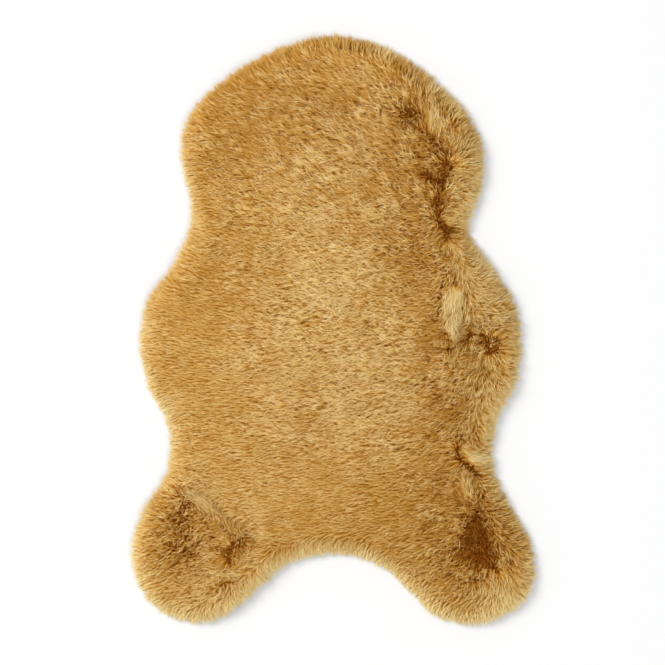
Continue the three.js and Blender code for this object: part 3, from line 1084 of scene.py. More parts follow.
@dataclass(frozen=True)
class UnderfurFinish:
    """The crimped fibre low in the pile, streaked, and darkest where the pile parts: darker fibre there and
    painted shade down in the partings.
    """

    name: str = "golden_underfur"
    roughness: float = 0.9
    streak: float = 420.0
    streak_detail: float = 3.0
    stretch: tuple[float, float, float] = (0.35, 1.0, 0.5)
    # How much darker the mat is where the pile parts: darker fibre and painted shade.
    darkening: float = 0.4
    relief: float = 0.7
    relief_depth: float = 0.0015
    stops: Stops = (
        (0.0, (0.12, 0.030, 0.002)),
        (0.42, (0.40, 0.150, 0.014)),
        (0.68, (0.58, 0.280, 0.050)),
        (0.9, (0.82, 0.560, 0.230)),
    )

    def material(self) -> bpy.types.Material:
        """Makes the material.

        Returns:
            The new material.
        """
        material, nodes, surface = start_finish(self.name, self.roughness)
        long = nodes.add("ShaderNodeMapping")
        long.inputs["Scale"].default_value = self.stretch
        nodes.join(nodes.add("ShaderNodeTexCoord").outputs["Object"], long.inputs["Vector"])
        fine = nodes.noise(long.outputs["Vector"], self.streak, self.streak_detail).outputs["Fac"]
        # The shade marks darken the mat: darker fibre and painted shade in the partings.
        dark = nodes.add("ShaderNodeAttribute", attribute_name="shade").outputs["Fac"]
        share = nodes.maths("MULTIPLY_ADD", dark, -self.darkening, fine)
        nodes.join(nodes.ramp(share, self.stops), surface.inputs["Base Color"])
        nodes.join(nodes.bump(fine, self.relief, self.relief_depth), surface.inputs["Normal"])
        return material


@dataclass(frozen=True)
class GroundFinish:
    """The plain knitted ground that the pile stands on, seen only from below."""

    name: str = "knitted_ground"
    roughness: float = 0.95
    shine: float = 0.15
    rib: float = 1800.0
    course: float = 2700.0
    knit_share: float = 0.25
    fuzz: float = 900.0
    fuzz_detail: float = 2.0
    fuzz_share: float = 0.5
    relief: float = 0.5
    relief_depth: float = 0.0006
    stops: Stops = ((0.25, (0.30, 0.20, 0.10)), (0.75, (0.46, 0.33, 0.19)))

    def material(self) -> bpy.types.Material:
        """Makes the material.

        Returns:
            The new material.
        """
        material, nodes, surface = start_finish(self.name, self.roughness, self.shine)
        where = nodes.add("ShaderNodeTexCoord").outputs["Object"]
        x, y, _ = nodes.parts(where)
        rib = nodes.maths("SINE", nodes.maths("MULTIPLY", x, self.rib))
        course = nodes.maths("SINE", nodes.maths("MULTIPLY", y, self.course))
        stitches = nodes.maths("MULTIPLY", rib, course)
        knit = nodes.maths("MULTIPLY_ADD", stitches, self.knit_share, self.knit_share)
        fuzz = nodes.noise(where, self.fuzz, self.fuzz_detail).outputs["Fac"]
        share = nodes.maths("MULTIPLY_ADD", fuzz, self.fuzz_share, knit)
        nodes.join(nodes.ramp(share, self.stops), surface.inputs["Base Color"])
        nodes.join(nodes.bump(share, self.relief, self.relief_depth), surface.inputs["Normal"])
        return material


def filled_outline(ring: np.ndarray, inner: np.ndarray) -> tuple[np.ndarray, Faces]:
    """Triangles over the whole of a closed outline.

    Args:
        ring: the outline's points, anticlockwise.
        inner: more points inside it.

    Returns:
        The points, the ring's first, and the triangles that join them.
    """
    points = [Vector(p) for p in np.vstack([ring, inner])]
    count = len(ring)
    edges = [(i, (i + 1) % count) for i in range(count)]
    found, _, faces, origins, _, _ = delaunay_2d_cdt(points, edges, [], 1, NEAR)
    order = np.full(len(found), -1)
    for new, old in enumerate(origins):
        order[new] = old[0] if old else -1
    kept = [tuple(int(order[v]) for v in face) for face in faces]
    return np.array([tuple(p) for p in points]), kept


def grid_inside(spacing: float, margin: float) -> np.ndarray:
    """Points on an even triangular grid inside the outline.

    Args:
        spacing: the distance between neighbours.
        margin: how far inside the outer edge they stay.

    Returns:
        The points, one a row.
    """
    low, high = OUTLINE.edge.min(axis=0), OUTLINE.edge.max(axis=0)
    rows = np.arange(low[1], high[1], spacing * math.sqrt(0.75))
    columns = np.arange(low[0], high[0], spacing)
    across, along = np.meshgrid(columns, rows)
    across = across + spacing / 2 * (np.arange(len(rows)) % 2)[:, None]
    points = np.column_stack([across.ravel(), along.ravel()])
    depth, _ = OUTLINE.depth(points)
    return points[depth > margin]


def at_height(plan: np.ndarray, height: float | np.ndarray) -> np.ndarray:
    """Plan points lifted to a height."""
    return np.column_stack([plan, np.broadcast_to(height, len(plan))])


def make_object(name: str, points: np.ndarray, faces: Faces,
                material: bpy.types.Material) -> bpy.types.Object:
    """Makes a closed, smooth mesh object at the origin, with its faces outwards.

    Args:
        name: the piece's name.
        points: its points in millimetres.
        faces: its faces.
        material: its finish.

    Returns:
        The new object.
    """
    mesh = bpy.data.meshes.new(name)
    mesh.from_pydata((points * MM).tolist(), [], faces)
    mesh.materials.append(material)
    mesh.shade_smooth()
    mesh.update()
    shape = bmesh.new()
    shape.from_mesh(mesh)
    bmesh.ops.recalc_face_normals(shape, faces=shape.faces)
    shape.to_mesh(mesh)
    shape.free()
    made = bpy.data.objects.new(name, mesh)
    bpy.context.collection.objects.link(made)
    return made


@dataclass(frozen=True)
class GroundCloth:
    """The thin cloth under the pile, a little smaller than the rug's outline."""

    name: str = "ground_cloth"
    inset: float = 13.0
    bottom: float = 0.2
    thickness: float = 1.6
    spacing: float = 12.0
    rim_points: int = 420

    def _ring(self) -> np.ndarray:
        """The cloth's edge, one point a row."""
        return OUTLINE.inset(self.inset, self.rim_points)

    def build(self) -> bpy.types.Object:
        """Makes the cloth as a closed flat sheet and dresses it.

        Returns:
            The new piece.
        """
        rim = self.rim_points
        plan, faces = filled_outline(self._ring(), grid_inside(self.spacing, self.inset + self.spacing / 2))
        count = len(plan)
        points = np.vstack([at_height(plan, self.bottom), at_height(plan, self.bottom + self.thickness)])
        under = [tuple(reversed(face)) for face in faces]
        over = [tuple(v + count for v in face) for face in faces]
        wall = [(i, (i + 1) % rim, (i + 1) % rim + count, i + count) for i in range(rim)]
        return make_object(self.name, points, under + over + wall, GroundFinish().material())

    def declare(self, cloth: bpy.types.Object, pile: list[bpy.types.Object]) -> None:
        """Attaches the sheet to the rug's body.

        Args:
            cloth: the finished sheet.
            pile: the pieces of pile on it; not used.
        """
        ring = self._ring()
        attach(cloth, BODY)


@dataclass(frozen=True)
class Underfur:
    """The dense lower part of the pile, a lumpy mat with a rounded rim.

    Its points carry how the hairs grow there: the way they lie, their reach, how ruffled
    they are, their tint, the length of their strands, and their shade.
    """

    COMBED = ("lie", "reach", "ruffle", "strand", "tint")

    name: str = "underfur"
    inset: float = 9.0
    rim_steps: tuple[float, float] = (1.0, 3.4)
    grid_margin: float = 6.0
    rim_height: float = 0.5
    bottom: float = 2.1
    bottom_inset: float = 12.4
    share: float = 0.71
    dent: float = 3.0
    deepest: float = 1.2
    shoulder: float = 30.0
    round: float = 1.6
    spacing: float = 4.6
    narrow: float = 9.5
    rim_points: int = 560
    side_reach: float = 12.0
    splay: float = 0.8
    stand: float = 0.75
    rim_droop: float = 0.55
    inner_start: float = 24.0
    rim_reach: float = 0.99
    inner_reach: float = 0.88
    dark_short: float = 0.42
    pale_long: float = 0.2
    rim_ruffle: float = 0.75
    rim_strand: float = 0.9
    strand_full: float = 14.0
    strand_start: float = 44.0

    def build(self) -> bpy.types.Object:
        """Makes the mat, with the comb of the pile stored on its points.

        Returns:
            The new piece.
        """
        rim = self.rim_points
        steps = [OUTLINE.inset(self.inset + step, rim) for step in self.rim_steps]
        plan, faces = filled_outline(OUTLINE.inset(self.inset, rim), np.vstack([*steps, self._grid()]))
        depth, _ = OUTLINE.depth(plan)
        away = np.clip((depth - self.inset) / self.shoulder, 0.0, 1.0)
        crown = FORM.top(plan) * self.share - self.dent * np.clip(COMB.shade_at(plan), 0.0, self.deepest)
        height = (crown - self.bottom) * (1 - (1 - away) ** 2) ** (1 / self.round) + self.bottom
        height[:rim] = self.rim_height
        under_ring = OUTLINE.inset(self.bottom_inset, rim)
        _, under_faces = filled_outline(under_ring, np.empty((0, 2)))
        start = len(plan)
        under = [tuple(v + start for v in reversed(face)) for face in under_faces]
        lip = [(i, (i + 1) % rim, start + (i + 1) % rim, start + i) for i in range(rim)]
        points = np.vstack([at_height(plan, height), at_height(under_ring, self.bottom)])
        mat = make_object(self.name, points, faces + lip + under, UnderfurFinish().material())
        self._comb(mat, np.vstack([plan, under_ring]))
        return mat

    def _grid(self) -> np.ndarray:
        """The mat's inner points, closer together about the narrow marks.

        Returns:
            The points, one a row.
        """
        fine = grid_inside(self.spacing / 2, self.inset + self.grid_margin)
        coarse = grid_inside(self.spacing, self.inset + self.grid_margin)
        return np.vstack([fine[self._marked(fine)], coarse[~self._marked(coarse)]])

    def _marked(self, points: np.ndarray) -> np.ndarray:
        """Whether points lie by a narrow mark.

        Args:
            points: plan points, one a row.

        Returns:
            True or False for each point.
        """
        near = np.zeros(len(points), dtype=bool)
        for mark in SHADES:
            if mark.spread < self.narrow:
                near |= mark.distance(points) < mark.spread + self.spacing
        return near

    def _comb(self, mat: bpy.types.Object, plan: np.ndarray) -> None:
        """Stores how the hairs grow from each point of the mat.

        Args:
            mat: the mat.
            plan: its points seen from above.
        """
        lean, shade = COMB.lean_at(plan), COMB.shade_at(plan)
        depth, outward = OUTLINE.depth(plan)
        side = 1 - smooth_step(self.inset, self.inset + self.side_reach, depth)
        inner = smooth_step(self.inset, self.inset + self.inner_start, depth)
        strand = 1 - smooth_step(self.strand_full, self.strand_start, depth)
        lean = lean + self.splay * outward * side[:, None]
        lie = np.column_stack([lean, self.stand - self.rim_droop * side])
        lie /= np.linalg.norm(lie, axis=1, keepdims=True)
        reach = self.rim_reach + (self.inner_reach - self.rim_reach) * inner
        reach *= 1 - self.dark_short * np.clip(shade, 0.0, 1.0) + self.pale_long * np.clip(-shade, 0.0, 1.0)
        ruffle = COMB.ruffle_at(plan) * (self.rim_ruffle + (1 - self.rim_ruffle) * inner)
        self._store(mat, "lie", "FLOAT_VECTOR", lie)
        self._store(mat, "reach", "FLOAT", reach)
        self._store(mat, "ruffle", "FLOAT", ruffle)
        self._store(mat, "tint", "FLOAT", COMB.tint_at(plan))
        self._store(mat, "strand", "FLOAT", 1.0 + self.rim_strand * strand)
        self._store(mat, "shade", "FLOAT", shade)

    @staticmethod
    def _store(mat: bpy.types.Object, name: str, kind: str, values: np.ndarray) -> None:
        """Stores one value for each point of the mat.

        Args:
            mat: the mat.
            name: the values' name.
            kind: Blender's name for their type.
            values: a number or a vector for each point.
        """
        layer = mat.data.attributes.new(name, kind, "POINT")
        layer.data.foreach_set("vector" if kind == "FLOAT_VECTOR" else "value", np.asarray(values).ravel())

    def strip(self, mat: bpy.types.Object) -> None:
        """Takes away what only the hairs needed, and keeps the shade for the mat's own finish."""
        for name in self.COMBED:
            mat.data.attributes.remove(mat.data.attributes[name])


class Draw(Enum):
    """What is drawn at random for each hair, and the step of the seed that keeps it apart."""

    LENGTH = 11
    WAY = 12
    GRAIN = 13
    WIDTH = 14
    SPARED = 15


@dataclass(frozen=True)
class Strands:
    """The narrow strands that the hairs gather into, which run along the nap."""

    width: float = 2.4
    step: float = 0.25
    steps: int = 3
    gain: float = 7.0
    probe: float = 0.6


@dataclass(frozen=True)
class Roots:
    """Where the hairs grow, and the soft shading that they take from the mat below."""

    density: float = 2.2
    underside: float = -0.2
    mat_share: float = 0.45
    upward: float = 1.2


@dataclass(frozen=True)
class Stance:
    """How unevenly the hairs stand. A pattern is its changes in a metre and its finer layers."""

    drift: tuple[float, float] = (90.0, 1.0)
    wave: tuple[float, float] = (30.0, 2.0)
    ripple: tuple[float, float] = (70.0, 1.0)
    patch: tuple[float, float] = (42.0, 0.0)
    wander: float = 0.010
    patch_gain: float = 1.4
    patch_least: float = 0.3
    loose_ruffled: float = 0.45
    loose_least: float = 0.3
    wave_pull: float = 2.0
    slide: float = 0.45
    clump_length: float = 0.34
    strand_length: float = 0.26
    shortest: float = -0.16
    longest: float = 0.12
    thinnest: float = 0.75
    thickest: float = 1.2
    relief: float = 0.5
    sunk: float = 0.06


@dataclass(frozen=True)
class Tone:
    """What makes a hair darker or paler, on a scale from 0 for dark to 1 for pale. Some of it is painted
    shade and painted light.
    """

    usual: float = 0.62
    lowest: float = 0.03
    highest: float = 0.97
    looked_up: float = 0.75
    shade_gain: float = 1.3
    spared: float = 0.35
    spared_strand: float = 0.3
    spared_clump: float = 0.3
    spared_random: float = 0.28
    spared_least: float = 0.05
    edge_gain: float = 2.4
    # dark and pale: how far the shade marks darken a hair (partly painted shade) and lighten it (partly
    # painted sheen).
    dark: float = 0.48
    pale: float = 0.4
    # strand: strands paler and the gaps between them darker, partly the hairs' own streaks and partly painted
    # shade in the gaps.
    strand: float = 0.21
    clump: float = 0.06
    grain: float = 0.095
    grain_ruffled: float = 0.65
    grain_least: float = 0.35
    wave: float = 0.37
    across_hair: float = 0.02


STRANDS = Strands()
ROOTS = Roots()
STANCE = Stance()
TONE = Tone()


@dataclass(frozen=True)
class Growth:
    """What the tree knows of each hair before it stands, as outputs of its nodes.

    Attributes:
        here: its root.
        lie: the way that it points.
        across: level and at right angles to the nap.
        ruffle: how ruffled the pile is there.
        wave: a broad soft unevenness, from 0 to 1.
        streak: high inside a strand and low between two.
        nearer: how the streak changes across the nap.
        to_clump: the way to the middle of its clump.
        clump: its clump's random number, from 0 to 1.
    """

    here: Socket
    lie: Socket
    across: Socket
    ruffle: Socket
    wave: Socket
    streak: Socket
    nearer: Socket
    to_clump: Socket
    clump: Socket


class HairTree:
    """The node tree that grows tapered hairs, drawn into strands and clumps, over a surface."""

    INPUTS = (
        ("Spacing", "NodeSocketFloat", 0.0009),
        ("Length", "NodeSocketFloat", 0.012),
        ("Width", "NodeSocketFloat", 0.00066),
        ("Clump Size", "NodeSocketFloat", 0.0057),
        ("Clump Pull", "NodeSocketFloat", 0.4),
        ("Gather", "NodeSocketFloat", 0.0029),
        ("Jitter", "NodeSocketFloat", 0.12),
        ("Sway", "NodeSocketFloat", 0.95),
        ("Floor", "NodeSocketFloat", 0.0003),
        ("Band Low", "NodeSocketFloat", -1.0),
        ("Band High", "NodeSocketFloat", 1.0),
        ("Seed", "NodeSocketInt", 7),
        ("Finish", "NodeSocketMaterial", None),
    )
    ASLANT = (0.02, 0.01, 1.0)

    def __init__(self) -> None:
        """Builds the tree."""
        self.tree = bpy.data.node_groups.new("grow_hairs", "GeometryNodeTree")
        face = self.tree.interface
        face.new_socket("Geometry", in_out="INPUT", socket_type="NodeSocketGeometry")
        self.identifiers = {}
        for name, kind, value in self.INPUTS:
            socket = face.new_socket(name, in_out="INPUT", socket_type=kind)
            if value is not None:
                socket.default_value = value
            self.identifiers[name] = socket.identifier
        face.new_socket("Geometry", in_out="OUTPUT", socket_type="NodeSocketGeometry")
        self.make = Nodes(self.tree)
        self.given = self.make.add("NodeGroupInput").outputs
        self._build()

    def _named(self, name: str, kind: str = "FLOAT") -> Socket:
        """Reads values stored on the geometry.

        Args:
            name: the values' name.
            kind: Blender's name for their type.

        Returns:
            The values' output.
        """
        node = self.make.add("GeometryNodeInputNamedAttribute", data_type=kind)
        node.inputs["Name"].default_value = name
        return node.outputs["Attribute"]

    def _random(self, low: float, high: float, draw: Draw) -> Socket:
        """A random number for each hair.

        Args:
            low: the lowest value.
            high: the highest value.
            draw: what the number is for.

        Returns:
            The number's output.
        """
        node = self.make.add("FunctionNodeRandomValue", data_type="FLOAT")
        node.inputs[2].default_value = low
        node.inputs[3].default_value = high
        self.make.join(self.make.maths("ADD", self.given["Seed"], float(draw.value)), node.inputs["Seed"])
        return node.outputs[1]

    def _random_way(self, draw: Draw) -> Socket:
        """A random vector for each hair, from -1 to 1 each way.

        Args:
            draw: what the vector is for.

        Returns:
            The vector's output.
        """
        node = self.make.add("FunctionNodeRandomValue", data_type="FLOAT_VECTOR")
        node.inputs[0].default_value = (-1.0, -1.0, -1.0)
        node.inputs[1].default_value = (1.0, 1.0, 1.0)
        self.make.join(self.make.maths("ADD", self.given["Seed"], float(draw.value)), node.inputs["Seed"])
        return node.outputs[0]

    def _keep(self, geometry: Socket, name: str, value: Socket, kind: str = "FLOAT",
              domain: str = "POINT") -> Socket:
        """Stores a named value on a geometry.

        Args:
            geometry: the geometry.
            name: the value's name.
            value: the value.
            kind: Blender's name for its type.
            domain: Blender's name for what carries it.

        Returns:
            The geometry with the value.
        """
        node = self.make.add("GeometryNodeStoreNamedAttribute", data_type=kind, domain=domain)
        node.inputs["Name"].default_value = name
        self.make.join(geometry, node.inputs["Geometry"])
        self.make.join(value, node.inputs["Value"])
        return node.outputs["Geometry"]

    def _roots(self) -> Socket:
        """The roots of the hairs, spread over the top and rim of one band of the surface.

        Returns:
            The points.
        """
        make, given = self.make, self.given
        _, along, _ = make.parts(make.add("GeometryNodeInputPosition").outputs[0])
        _, _, facing = make.parts(make.add("GeometryNodeInputNormal").outputs["Normal"])
        below = make.maths("LESS_THAN", along, given["Band Low"])
        above = make.maths("GREATER_THAN", along, given["Band High"])
        under = make.maths("LESS_THAN", facing, ROOTS.underside)
        cut = make.add("GeometryNodeDeleteGeometry", domain="FACE")
        make.join(given["Geometry"], cut.inputs["Geometry"])
        make.join(make.maths("ADD", make.maths("ADD", below, above), under), cut.inputs["Selection"])
        spread = make.add("GeometryNodeDistributePointsOnFaces", distribute_method="POISSON")
        make.join(cut.outputs["Geometry"], spread.inputs["Mesh"])
        make.join(given["Spacing"], spread.inputs["Distance Min"])
        patch = make.maths("MULTIPLY", given["Spacing"], given["Spacing"])
        make.join(make.maths("DIVIDE", ROOTS.density, patch), spread.inputs["Density Max"])
        make.join(given["Seed"], spread.inputs["Seed"])
        bed = make.scaled(spread.outputs["Normal"], ROOTS.mat_share)
        soft = make.vector("ADD", bed, (0.0, 0.0, ROOTS.upward))
        return self._keep(spread.outputs["Points"], "soft", soft, "FLOAT_VECTOR")

    def _clump(self, here: Socket) -> tuple[Socket, Socket]:
        """The clump that each hair belongs to.

        Args:
            here: the hair's root.

        Returns:
            The way from the root to the middle of its clump, and the clump's random number
            from 0 to 1.
        """
        make, size = self.make, self.given["Clump Size"]
        drift = make.noise(here, *STANCE.drift).outputs["Color"]
        wander = make.scaled(make.vector("SUBTRACT", drift, HALF_GREY), STANCE.wander)
        flat = make.vector("MULTIPLY", make.vector("ADD", here, wander), LEVEL)
        cells = make.add("ShaderNodeTexVoronoi", voronoi_dimensions="2D", feature="F1")
        cells.inputs["Scale"].default_value = 1.0
        make.join(make.scaled(flat, make.maths("DIVIDE", 1.0, size)), cells.inputs["Vector"])
        middle = make.scaled(cells.outputs["Position"], size)
        way = make.vector("MULTIPLY", make.vector("SUBTRACT", middle, flat), LEVEL)
        return way, make.parts(cells.outputs["Color"])[0]

    def _streak(self, here: Socket, nap: Socket) -> Socket:
        """Narrow strands that run along the nap.

        Args:
            here: the place to look them up.
            nap: the way the pile lies there, seen from above.

        Returns:
            A number for each hair, from about -1 between the strands to 1 in them.
        """
        make = self.make
        stride = make.scaled(nap, make.maths("MULTIPLY", self._named("strand"), STRANDS.step * MM))
        total: Socket | float = 0.0
        for step in range(-STRANDS.steps, STRANDS.steps + 1):
            place = make.vector("ADD", here, make.scaled(stride, float(step)))
            grain = make.noise(place, 1.0 / (STRANDS.width * MM), 0.0)
            total = make.maths("ADD", grain.outputs["Fac"], total)
        count = 2 * STRANDS.steps + 1
        return make.maths("MULTIPLY_ADD", total, STRANDS.gain / count, -0.5 * STRANDS.gain)

    def _growth(self) -> Growth:
        """Works out how each hair grows from its root.

        Returns:
            What is known of it.
        """
        make, given = self.make, self.given
        here = make.add("GeometryNodeInputPosition").outputs[0]
        to_clump, clump = self._clump(here)
        patch = make.noise(here, *STANCE.patch).outputs["Fac"]
        patch = make.maths("MULTIPLY_ADD", patch, STANCE.patch_gain, STANCE.patch_least)
        ruffle = make.maths("MULTIPLY", self._named("ruffle"), patch)
        loose = make.maths("MULTIPLY_ADD", ruffle, STANCE.loose_ruffled, STANCE.loose_least)
        ripple = make.noise(here, *STANCE.ripple).outputs["Color"]
        sway = make.scaled(make.vector("SUBTRACT", ripple, HALF_GREY), given["Sway"])
        turn = make.vector("ADD", sway, make.scaled(self._random_way(Draw.WAY), given["Jitter"]))
        comb = self._named("lie", "FLOAT_VECTOR")
        nap = make.vector("MULTIPLY", make.vector("ADD", comb, make.scaled(sway, loose)), LEVEL)
        nap = make.vector("NORMALIZE", nap)
        across = make.vector("CROSS_PRODUCT", UP, nap)
        beside = make.scaled(across, STRANDS.probe * MM)
        left = self._streak(make.vector("ADD", here, beside), nap)
        right = self._streak(make.vector("SUBTRACT", here, beside), nap)
        return Growth(
            here=here,
            lie=make.vector("NORMALIZE", make.vector("ADD", comb, make.scaled(turn, loose))),
            across=across,
            ruffle=ruffle,
            wave=make.noise(here, *STANCE.wave).outputs["Fac"],
            streak=self._streak(here, nap),
            nearer=make.maths("SUBTRACT", left, right),
            to_clump=to_clump,
            clump=clump,
        )

    def _length(self, hair: Growth) -> Socket:
        """How long each hair is.

        Args:
            hair: what is known of the hair.

        Returns:
            Its length.
        """
        make = self.make
        clump = make.maths("MULTIPLY_ADD", hair.clump, STANCE.clump_length, -STANCE.clump_length / 2)
        uneven = make.maths("ADD", clump, self._random(STANCE.shortest, STANCE.longest, Draw.LENGTH))
        strand = make.maths("MULTIPLY", hair.streak, hair.ruffle)
        uneven = make.maths("ADD", uneven, make.maths("MULTIPLY", strand, STANCE.strand_length))
        length = make.maths("MULTIPLY", self.given["Length"], self._named("reach"))
        return make.maths("MULTIPLY", length, make.maths("ADD", uneven, 1.0))

    def _tip(self, hair: Growth, length: Socket) -> Socket:
        """Where each hair ends, drawn towards its clump and its strand.

        Args:
            hair: what is known of the hair.
            length: how long it is.

        Returns:
            The place of its tip.
        """
        make, given = self.make, self.given
        comb = make.vector("NORMALIZE", make.vector("MULTIPLY", hair.lie, LEVEL))
        ahead = make.scaled(comb, make.vector("DOT_PRODUCT", hair.to_clump, comb))
        pull = make.maths("MULTIPLY", make.maths("MULTIPLY", given["Clump Pull"], hair.ruffle),
                          make.maths("MULTIPLY", hair.wave, STANCE.wave_pull))
        draw = make.vector("SUBTRACT", hair.to_clump, make.scaled(ahead, STANCE.slide))
        draw = make.scaled(draw, pull)
        gather = make.maths("MULTIPLY", make.maths("MULTIPLY", hair.nearer, given["Gather"]), hair.ruffle)
        draw = make.vector("ADD", draw, make.scaled(hair.across, gather))
        straight = make.vector("ADD", hair.here, make.scaled(hair.lie, length))
        return make.vector("ADD", straight, draw)

    def _tone(self, hair: Growth, length: Socket) -> Socket:
        """How dark or pale each hair is, from the shade below its visible end.

        Args:
            hair: what is known of the hair.
            length: how long it is.

        Returns:
            A number from 0 for dark to 1 for pale.
        """
        make = self.make
        shown = make.scaled(hair.lie, make.maths("MULTIPLY", length, TONE.looked_up))
        look = make.add("GeometryNodeSampleNearestSurface", data_type="FLOAT")
        make.join(self.given["Geometry"], look.inputs["Mesh"])
        make.join(self._named("shade"), look.inputs["Value"])
        make.join(make.vector("ADD", hair.here, shown), look.inputs["Sample Position"])
        shade = look.outputs["Value"]
        # Dark marks are darker fibre with painted shade in the partings; pale marks are paler hair with
        # painted sheen.
        spared = make.maths("MULTIPLY_ADD", hair.clump, TONE.spared_clump, TONE.spared)
        spared = make.maths("MULTIPLY_ADD", hair.streak, TONE.spared_strand, spared)
        chance = self._random(-TONE.spared_random, TONE.spared_random, Draw.SPARED)
        spared = make.maths("ADD", spared, chance)
        spared = make.maths("MAXIMUM", spared, TONE.spared_least)
        dark = make.maths("SUBTRACT", make.maths("MULTIPLY", shade, TONE.shade_gain), spared)
        dark = make.kept(make.maths("MULTIPLY", dark, TONE.edge_gain), 0.0, 1.0)
        tone = make.maths("MULTIPLY_ADD", dark, -TONE.dark, TONE.usual)
        tone = make.maths("MULTIPLY_ADD", make.maths("MINIMUM", shade, 0.0), -TONE.pale, tone)
        # The tint carries the painted light and painted shade at the rim.
        tone = make.maths("ADD", tone, self._named("tint"))
        # Strands paler and the gaps between them darker: partly the hairs' own streaks, partly painted shade
        # in the gaps.
        strand = make.maths("MULTIPLY", hair.ruffle, TONE.strand)
        tone = make.maths("MULTIPLY_ADD", hair.streak, strand, tone)
        tone = make.maths("ADD", tone, make.maths("MULTIPLY_ADD", hair.clump, TONE.clump, -TONE.clump / 2))
        grain = make.maths("MULTIPLY", self._random(-TONE.grain, TONE.grain, Draw.GRAIN),
                           make.maths("MULTIPLY_ADD", hair.ruffle, TONE.grain_ruffled, TONE.grain_least))
        tone = make.maths("ADD", tone, grain)
        tone = make.maths("ADD", tone, make.maths("MULTIPLY_ADD", hair.wave, TONE.wave, -TONE.wave / 2))
        return make.kept(tone, TONE.lowest, TONE.highest)

    def _soft(self, hair: Growth) -> Socket:
        """The soft shading of each hair: that of the mat, turned a little by its strand.

        Args:
            hair: what is known of the hair.

        Returns:
            The way that its surface faces as a whole.
        """
        make = self.make
        slope = make.scaled(hair.across, make.maths("MULTIPLY", hair.nearer, -STANCE.relief))
        return make.vector("ADD", self._named("soft", "FLOAT_VECTOR"), make.scaled(slope, hair.ruffle))

    def _stance(self, points: Socket) -> Socket:
        """Stores how each hair stands: its shading, root, tip, thickness and tone.

        Args:
            points: the roots.

        Returns:
            The roots with these values.
        """
        hair = self._growth()
        length = self._length(hair)
        thickness = self._random(STANCE.thinnest, STANCE.thickest, Draw.WIDTH)
        points = self._keep(points, "soft", self._soft(hair), "FLOAT_VECTOR")
        points = self._keep(points, "hair_root", hair.here, "FLOAT_VECTOR")
        points = self._keep(points, "hair_tip", self._tip(hair, length), "FLOAT_VECTOR")
        points = self._keep(points, "hair_width", self.make.maths("MULTIPLY", self.given["Width"], thickness))
        return self._keep(points, "hair_tone", self._tone(hair, length))

    def _hair(self) -> Socket:
        """One hair, a three-sided spike a unit tall, with each point's place kept.

        Returns:
            The hair's mesh.
        """
        cone = self.make.add("GeometryNodeMeshCone", fill_type="NGON")
        for name, value in (("Vertices", 3), ("Side Segments", 1), ("Radius Top", 0.0),
                            ("Radius Bottom", 1.0), ("Depth", 1.0)):
            cone.inputs[name].default_value = value
        here = self.make.add("GeometryNodeInputPosition").outputs[0]
        return self._keep(cone.outputs["Mesh"], "hair_place", here, "FLOAT_VECTOR")

    def _stood(self, geometry: Socket) -> Socket:
        """Stands the hairs from their roots to their tips, and rests the low ones on the floor.

        Args:
            geometry: the hairs as they were placed.

        Returns:
            The finished hairs.
        """
        make, given = self.make, self.given
        x, y, z = make.parts(self._named("hair_place", "FLOAT_VECTOR"))
        root, tip = self._named("hair_root", "FLOAT_VECTOR"), self._named("hair_tip", "FLOAT_VECTOR")
        span = make.vector("SUBTRACT", tip, root)
        rise = make.vector("NORMALIZE", span)
        across = make.vector("NORMALIZE", make.vector("CROSS_PRODUCT", self.ASLANT, rise))
        ahead = make.vector("CROSS_PRODUCT", across, rise)
        width = self._named("hair_width")
        up = make.maths("MULTIPLY_ADD", z, 1.0 + STANCE.sunk, -STANCE.sunk)
        place = make.vector("ADD", root, make.scaled(span, up))
        place = make.vector("ADD", place, make.scaled(ahead, make.maths("MULTIPLY", x, width)))
        place = make.vector("ADD", place, make.scaled(across, make.maths("MULTIPLY", y, width)))
        px, py, pz = make.parts(place)
        moved = make.add("GeometryNodeSetPosition")
        make.join(geometry, moved.inputs["Geometry"])
        make.join(make.whole(px, py, make.maths("MAXIMUM", pz, given["Floor"])), moved.inputs["Position"])
        return moved.outputs["Geometry"]

    def _build(self) -> None:
        """Lays out the whole tree."""
        make, given = self.make, self.given
        place = make.add("GeometryNodeInstanceOnPoints")
        make.join(self._stance(self._roots()), place.inputs["Points"])
        make.join(self._hair(), place.inputs["Instance"])
        real = make.add("GeometryNodeRealizeInstances")
        make.join(place.outputs["Instances"], real.inputs["Geometry"])
        x, y, z = make.parts(self._named("hair_place", "FLOAT_VECTOR"))
        tone = make.maths("MULTIPLY_ADD", y, TONE.across_hair, self._named("hair_tone"))
        pair = make.whole(tone, make.maths("MULTIPLY_ADD", x, TONE.across_hair, z), 0.0)
        mapped = self._keep(self._stood(real.outputs["Geometry"]), UV_NAME, pair, "FLOAT2", "CORNER")
        smooth = make.add("GeometryNodeSetShadeSmooth")
        make.join(mapped, smooth.inputs["Geometry"])
        dressed = make.add("GeometryNodeSetMaterial")
        make.join(smooth.outputs["Geometry"], dressed.inputs["Geometry"])
        make.join(given["Finish"], dressed.inputs["Material"])
        out = make.add("NodeGroupOutput")
        make.join(dressed.outputs["Geometry"], out.inputs["Geometry"])


@dataclass(frozen=True)
class Band:
    """A stretch of the rug's length whose hairs make one piece."""

    name: str
    low: float
    high: float


BANDS = (
    Band("pile_head", 205, 500),
    Band("pile_shoulders", 65, 205),
    Band("pile_back", -60, 65),
    Band("pile_waist", -215, -60),
    Band("pile_legs", -500, -215),
)


